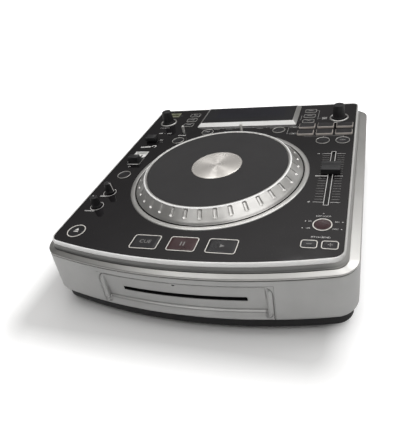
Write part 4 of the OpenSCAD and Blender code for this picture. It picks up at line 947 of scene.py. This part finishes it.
def extruded(name, node, at, profile, width):
    """A cap whose side view [(y, z)] is drawn and pulled along X, with softened ends."""
    cy = sum(p[0] for p in profile) / len(profile)
    half = max(abs(p[0] - cy) for p in profile)
    low = min(p[1] for p in profile)
    tall = max(p[1] for p in profile) - low
    rings = []
    for x, inset in ((-width / 2, 0.5), (-width / 2 + 0.175, 0.15), (-width / 2 + 0.5, 0),
                     (width / 2 - 0.5, 0), (width / 2 - 0.175, 0.15), (width / 2, 0.5)):
        rings.append([deck(at[0] + x, at[1] + cy + (y - cy) * (half - inset) / half,
                           low + (z - low) * (tall - inset) / tall) for y, z in profile])
    ob = make(name, *skin(rings, True, True, True), KNOB, node + "_body", 30, "knob_black")
    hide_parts(node)


def arc(cy, cz, r, a0, a1, n=5):
    turns = [math.radians(a0 + (a1 - a0) * i / n) for i in range(n + 1)]
    return [(cy + r * math.cos(a), cz + r * math.sin(a)) for a in turns]


def stem(name, at, size, r, low, high, look, body, slot):
    """A neck under a cap, or a strip in a slot, from low to high."""
    tablet(name, at, size, r, [(0, low), (0, high)], look, body, 40, slot)


FADER = (127.2, 156.1)
extruded("fader_cap", "pitch_fader", FADER,
         [(-7, 0.8), (7, 0.8), (7, 7.4)] + arc(5.9, 8.1, 1.1, 0, 90)
         + [(5.2, 9.15), (4.6, 8.9), (3.2, 7.4), (2.0, 6.2), (1.0, 5.75), (-4.6, 5.75),
            (-5.0, 6.1)] + arc(-6.0, 5.6, 1.0, 60, 180), 20.5)


def fader_insert():
    """Ribbed inlay in the cap's hollow; the grey of its front part is painted sheen where the floor
    faces up, and its back part is black.
    """
    verts = []
    rows = 22
    for i in range(rows):
        y = FADER[1] - 4.5 + 5.4 * i / (rows - 1)
        z = 5.85 if i % 6 in (1, 2, 3) else 5.55
        verts += [deck(FADER[0] - 9.3, y, z), deck(FADER[0] + 9.3, y, z)]
    faces = [(2 * i, 2 * i + 1, 2 * i + 3, 2 * i + 2) for i in range(rows - 1)]
    ob = make("fader_inlay", verts, faces, [KNOB_SHEEN, KNOB], "pitch_fader_body", 20, "knob_black")
    for face in ob.data.polygons:
        if face.center.y > deck(0, FADER[1] - 1.4).y:
            face.material_index = 1


fader_insert()
stem("fader_stem", FADER, (1.8, 6.0), 0.4, -2.2, 1.4, STEEL, "pitch_fader_body", "knob_black")
stem("fader_dust_strip", FADER_SLOT, (9, 116), 1.0, -3.4, -2.6, RUBBER, CASE, "rubber")

SLIDE = (-126.0, 180.2)
SLIDE_WINDOW = (-126.0, 189.4)
extruded("slide_cap", "slide_switch", SLIDE,
         [(-5.5, -2.7), (5.5, -2.7), (5.5, 1.0), (4.6, 6.4)] + arc(3.5, 6.9, 1.1, 10, 90)
         + arc(0, 12.4, 5.0, 246, 294, 6)[::-1] + arc(-3.5, 6.9, 1.1, 90, 170)
         + [(-4.6, 6.4), (-5.5, 1.0)], 14)
stem("slide_stem", SLIDE, (1.8, 6.0), 0.4, -2.9, -2.0, KNOB, "slide_switch_body", "knob_black")
stem("slide_dust_strip", SLIDE_WINDOW, (2.6, 25), 0.4, -4.1, -3.2, RUBBER, CASE, "rubber")


def slide_well():
    """Lining of the switch's window: black in front, white behind the cap's resting place."""
    x, y = SLIDE_WINDOW
    w, d, split, low = 18.6, 32.6, 195.4, -2.96
    for name, end, look in (("slide_well_front", y - d / 2, KNOB),
                            ("slide_well_back", y + d / 2, WHITE_PLASTIC)):
        verts = []
        for x0, x1 in ((x - w / 2, x - 1.5), (x + 1.5, x + w / 2)):
            verts += [deck(*p, low) for p in box(x0, min(end, split), x1, max(end, split))]
        path = [(x - w / 2, split), (x - w / 2, end), (x + w / 2, end), (x + w / 2, split)]
        for a, b in zip(path, path[1:]):
            verts += [deck(*a, low), deck(*b, low), deck(*b, -0.05), deck(*a, -0.05)]
        if name == "slide_well_front":
            # The guide's front and side edges, seen from above
            for edge in ((-9.5, -16.5, 9.5, -15.2), (-9.5, -15.2, -8.2, 2.6),
                         (8.2, -15.2, 9.5, 2.6)):
                verts += [deck(x + a, y + b, 0.03) for a, b in box(*edge)]
        faces = [tuple(range(i, i + 4)) for i in range(0, len(verts), 4)]
        make(name, verts, faces, look, CASE, 30, "white_plastic")


slide_well()

PADDLE = (-125.5, 237.2)
extruded("paddle_cap", "reverse_paddle", PADDLE,
         [(-5.5, 2.3), (-2.5, 1.2), (2.5, 1.2), (5.5, 2.3)] + arc(4.4, 6.4, 1.1, 0, 90)
         + [(0.6, 6.75), (-0.6, 6.75)] + arc(-4.4, 6.4, 1.1, 90, 180), 14.5)
stem("paddle_neck", PADDLE, (11, 7), 0.6, -6.0, 2.2, KNOB, "reverse_paddle_body", "knob_black")


def lever(name, at, node):
    profile = [(0.6, -7.1), (1.8, -6.4), (2.55, -5.0), (2.55, -4.0), (1.9, -2.7), (1.4, -2.2),
               (1.4, 0.6), (1.55, 1.2), (1.75, 4.0), (1.95, 9.2), (2.0, 10.2), (1.85, 11.1),
               (1.4, 11.7), (0.7, 11.98), (0.1, 12.0)]
    ob = lathe(name, profile, deck(*at), LEVER, node + "_body", 40, 30, "lever_metal")
    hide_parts(node)
    # Dark rubber boot in the deck's hole
    lathe(name + "_boot", [(4.05, 0.02), (3.95, 0.5), (3.4, 0.7), (3.1, 0.3), (3.1, 0.02)],
          deck(*at), RUBBER, CASE, 40, 40, "rubber", ring_shaped=True)


lever("lever_left_stick", (-84.0, 258.2), "left_lever")
lever("lever_centre_stick", (1.2, 257.8), "centre_lever")

# ---- display

def display():
    cx, cy = 1.2, 304.8
    rings = []
    for w, h, z in ((142, 58.5, 0.0), (142, 58.5, 0.5), (141.7, 58.2, 0.7), (133.3, 49.8, 4.55),
                    (133.0, 49.5, 4.75), (132.5, 49.0, 4.8), (131.2, 47.7, 4.8), (131.0, 47.5, 4.6),
                    (131.0, 47.5, 3.6)):
        rings.append([deck(cx + a, cy + b, z) for a, b in round_rect(w, h, 0.9, 4)])
    ob = make("display_frame", *skin(rings), [BRIGHT, RIM_HIGHLIGHT], CASE, 20, "bright_trim")
    # Faces that face forward and up take the rim's near-white painted highlight
    for face in ob.data.polygons:
        if face.normal.y < -0.4 and face.normal.z > 0.3:
            face.material_index = 1
    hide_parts("display_bezel")
    # Glass with a window: its surround is printed black from behind
    glass = tablet("display_window", (cx, cy), (130.6, 47.1), 0.6,
                   [(0, 3.6), (0, 4.5), (0.1, 4.6)], GLASS, CASE, 30, "display_glass")
    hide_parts("display_module")
    verts = [deck(x, y, 4.63) for x, y in box(cx - 48.5, 294.2, cx + 51.5, 326.6)]
    make("display_lcd", verts, [(0, 1, 2, 3)], LCD, CASE, 30, "display_glass")


display()

for tone, look in TONES.items():
    make("deck_print_" + tone, print_verts[tone], print_faces[tone], look, CASE, 30, "bright_trim")

# ---- floor, light and camera

def floor():
    mesh = bpy.data.meshes.new("floor")
    mesh.from_pydata([(-6, -6, 0), (6, -6, 0), (6, 8, 0), (-6, 8, 0)], [], [(0, 1, 2, 3)])
    ob = link("floor", mesh)
    m, tree, p = surface("floor_white", {
        "Base Color": (0.8, 0.8, 0.8, 1), "Roughness": 0.9, "Specular IOR Level": 0.1,
        "Emission Color": (1, 1, 1, 1)})

    # The table glows to the camera a little away from the case, so that the shadow stays
    def vector(operation, *values):
        return wire(tree, "VectorMath", dict(enumerate(values)), operation=operation).outputs

    out = wire(tree, "TexCoord", {}).outputs["Object"]
    out = vector("ABSOLUTE", vector("ADD", out, (0.030, 0.016, 0))["Vector"])["Vector"]
    out = vector("SUBTRACT", out, (0.150, 0.168, 0))["Vector"]
    far = vector("LENGTH", vector("MAXIMUM", out, (0, 0, 0))["Vector"])["Value"]
    lift = wire(tree, "MapRange", {"From Min": 0.012, "From Max": 0.075, "To Max": 0.8,
                                   "Value": far}).outputs["Result"]
    seen = wire(tree, "LightPath", {}).outputs["Is Camera Ray"]
    glow = wire(tree, "Math", {0: seen, 1: lift}, operation="MULTIPLY").outputs["Value"]
    tree.links.new(glow, p["Emission Strength"])
    mesh.materials.append(m)


def world():
    """A dim room with a bright ceiling, darker towards the left; white to the camera."""
    w = bpy.data.worlds.new("studio")
    bpy.context.scene.world = w
    w.use_nodes = True
    tree = w.node_tree
    away = wire(tree, "TexCoord", {}).outputs["Generated"]
    away = wire(tree, "SeparateXYZ", {"Vector": away}).outputs
    height = 0.05
    for axis, share in (("Z", 0.85), ("X", 0.10), ("Y", 0.10)):
        height = wire(tree, "Math", {0: away[axis], 1: share, 2: height},
                      operation="MULTIPLY_ADD").outputs["Value"]
    ramp = wire(tree, "ValToRGB", {"Fac": height})
    ends = ramp.color_ramp.elements
    for spot, (at, level) in zip((ends[0], ends[1]), ((0.0, 0.25), (1.0, 0.72))):
        spot.position = at
        spot.color = (level, level, level, 1)
    for at, level in ((0.25, 0.08), (0.41, 0.10), (0.52, 0.22), (0.66, 0.66), (0.80, 0.72)):
        ends.new(at).color = (level, level * 0.985, level * 0.965, 1)
    seen = wire(tree, "LightPath", {}).outputs["Is Camera Ray"]
    white = blend(tree, seen, ramp.outputs["Color"], (1, 1, 1, 1))
    tree.links.new(white, tree.nodes["Background"].inputs["Color"])


def lamp(name, at, target, size, power):
    data = bpy.data.lights.new(name, "AREA")
    data.shape = "RECTANGLE"
    data.size, data.size_y = size
    data.energy = power
    ob = link(name, data, at)
    ob.rotation_euler = (Vector(target) - Vector(at)).to_track_quat("-Z", "Y").to_euler()


floor()
world()
lamp("key", (0.85, 0.80, 1.35), (0, 0.0, 0.05), (0.8, 0.7), 5.6)
lamp("strip", (-0.1, 0.0, 1.6), (-0.1, 0.0, 0), (1.9, 0.8), 5.2)
lamp("front_left", (-0.50, -0.86, 1.24), (0, 0, 0.09), (0.36, 0.30), 0.7)
lamp("front_right", (0.84, -0.50, 1.24), (0, 0, 0.09), (1.3, 0.9), 4.5)
lamp("streak_a", (-0.53, 0.85, 1.37), (0, 0, 0.09), (0.22, 0.22), 1.1)
lamp("streak_b", (-0.10, 1.02, 1.36), (0, 0, 0.09), (0.22, 0.22), 1.1)
lamp("backdrop", (1.5, 1.5, 0.45), (0.1, 0.1, 0.08), (1.2, 0.5), 1.2)


def camera():
    """Fitted to the photograph, whose frame is WIDE by HIGH pixels."""
    WIDE, HIGH = 420, 429
    focal, middle_x, middle_y = 434.056, 224.364, 214.625
    data = bpy.data.cameras.new("camera")
    data.sensor_fit = "HORIZONTAL"
    data.sensor_width = 36
    data.lens = focal * data.sensor_width / WIDE
    data.shift_x = (WIDE / 2 - middle_x) / WIDE
    data.shift_y = (middle_y - HIGH / 2) / WIDE
    data.clip_start = 0.01
    ob = link("camera", data)
    # A turn about an axis takes the row frame to the fitted camera's axes
    turn = Vector((2.193643526, 0.211575794, -0.328624030))
    to_camera = Matrix.Rotation(turn.length, 3, turn.normalized())
    axes = to_camera.transposed() @ Matrix(((1, 0, 0), (0, -1, 0), (0, 0, -1)))
    ob.matrix_world = Matrix.Translation(Vector((0.16479, -0.42894, 0.33788))) @ axes.to_4x4()
    bpy.context.scene.camera = ob


camera()
bpy.context.scene.view_settings.view_transform = "Standard"
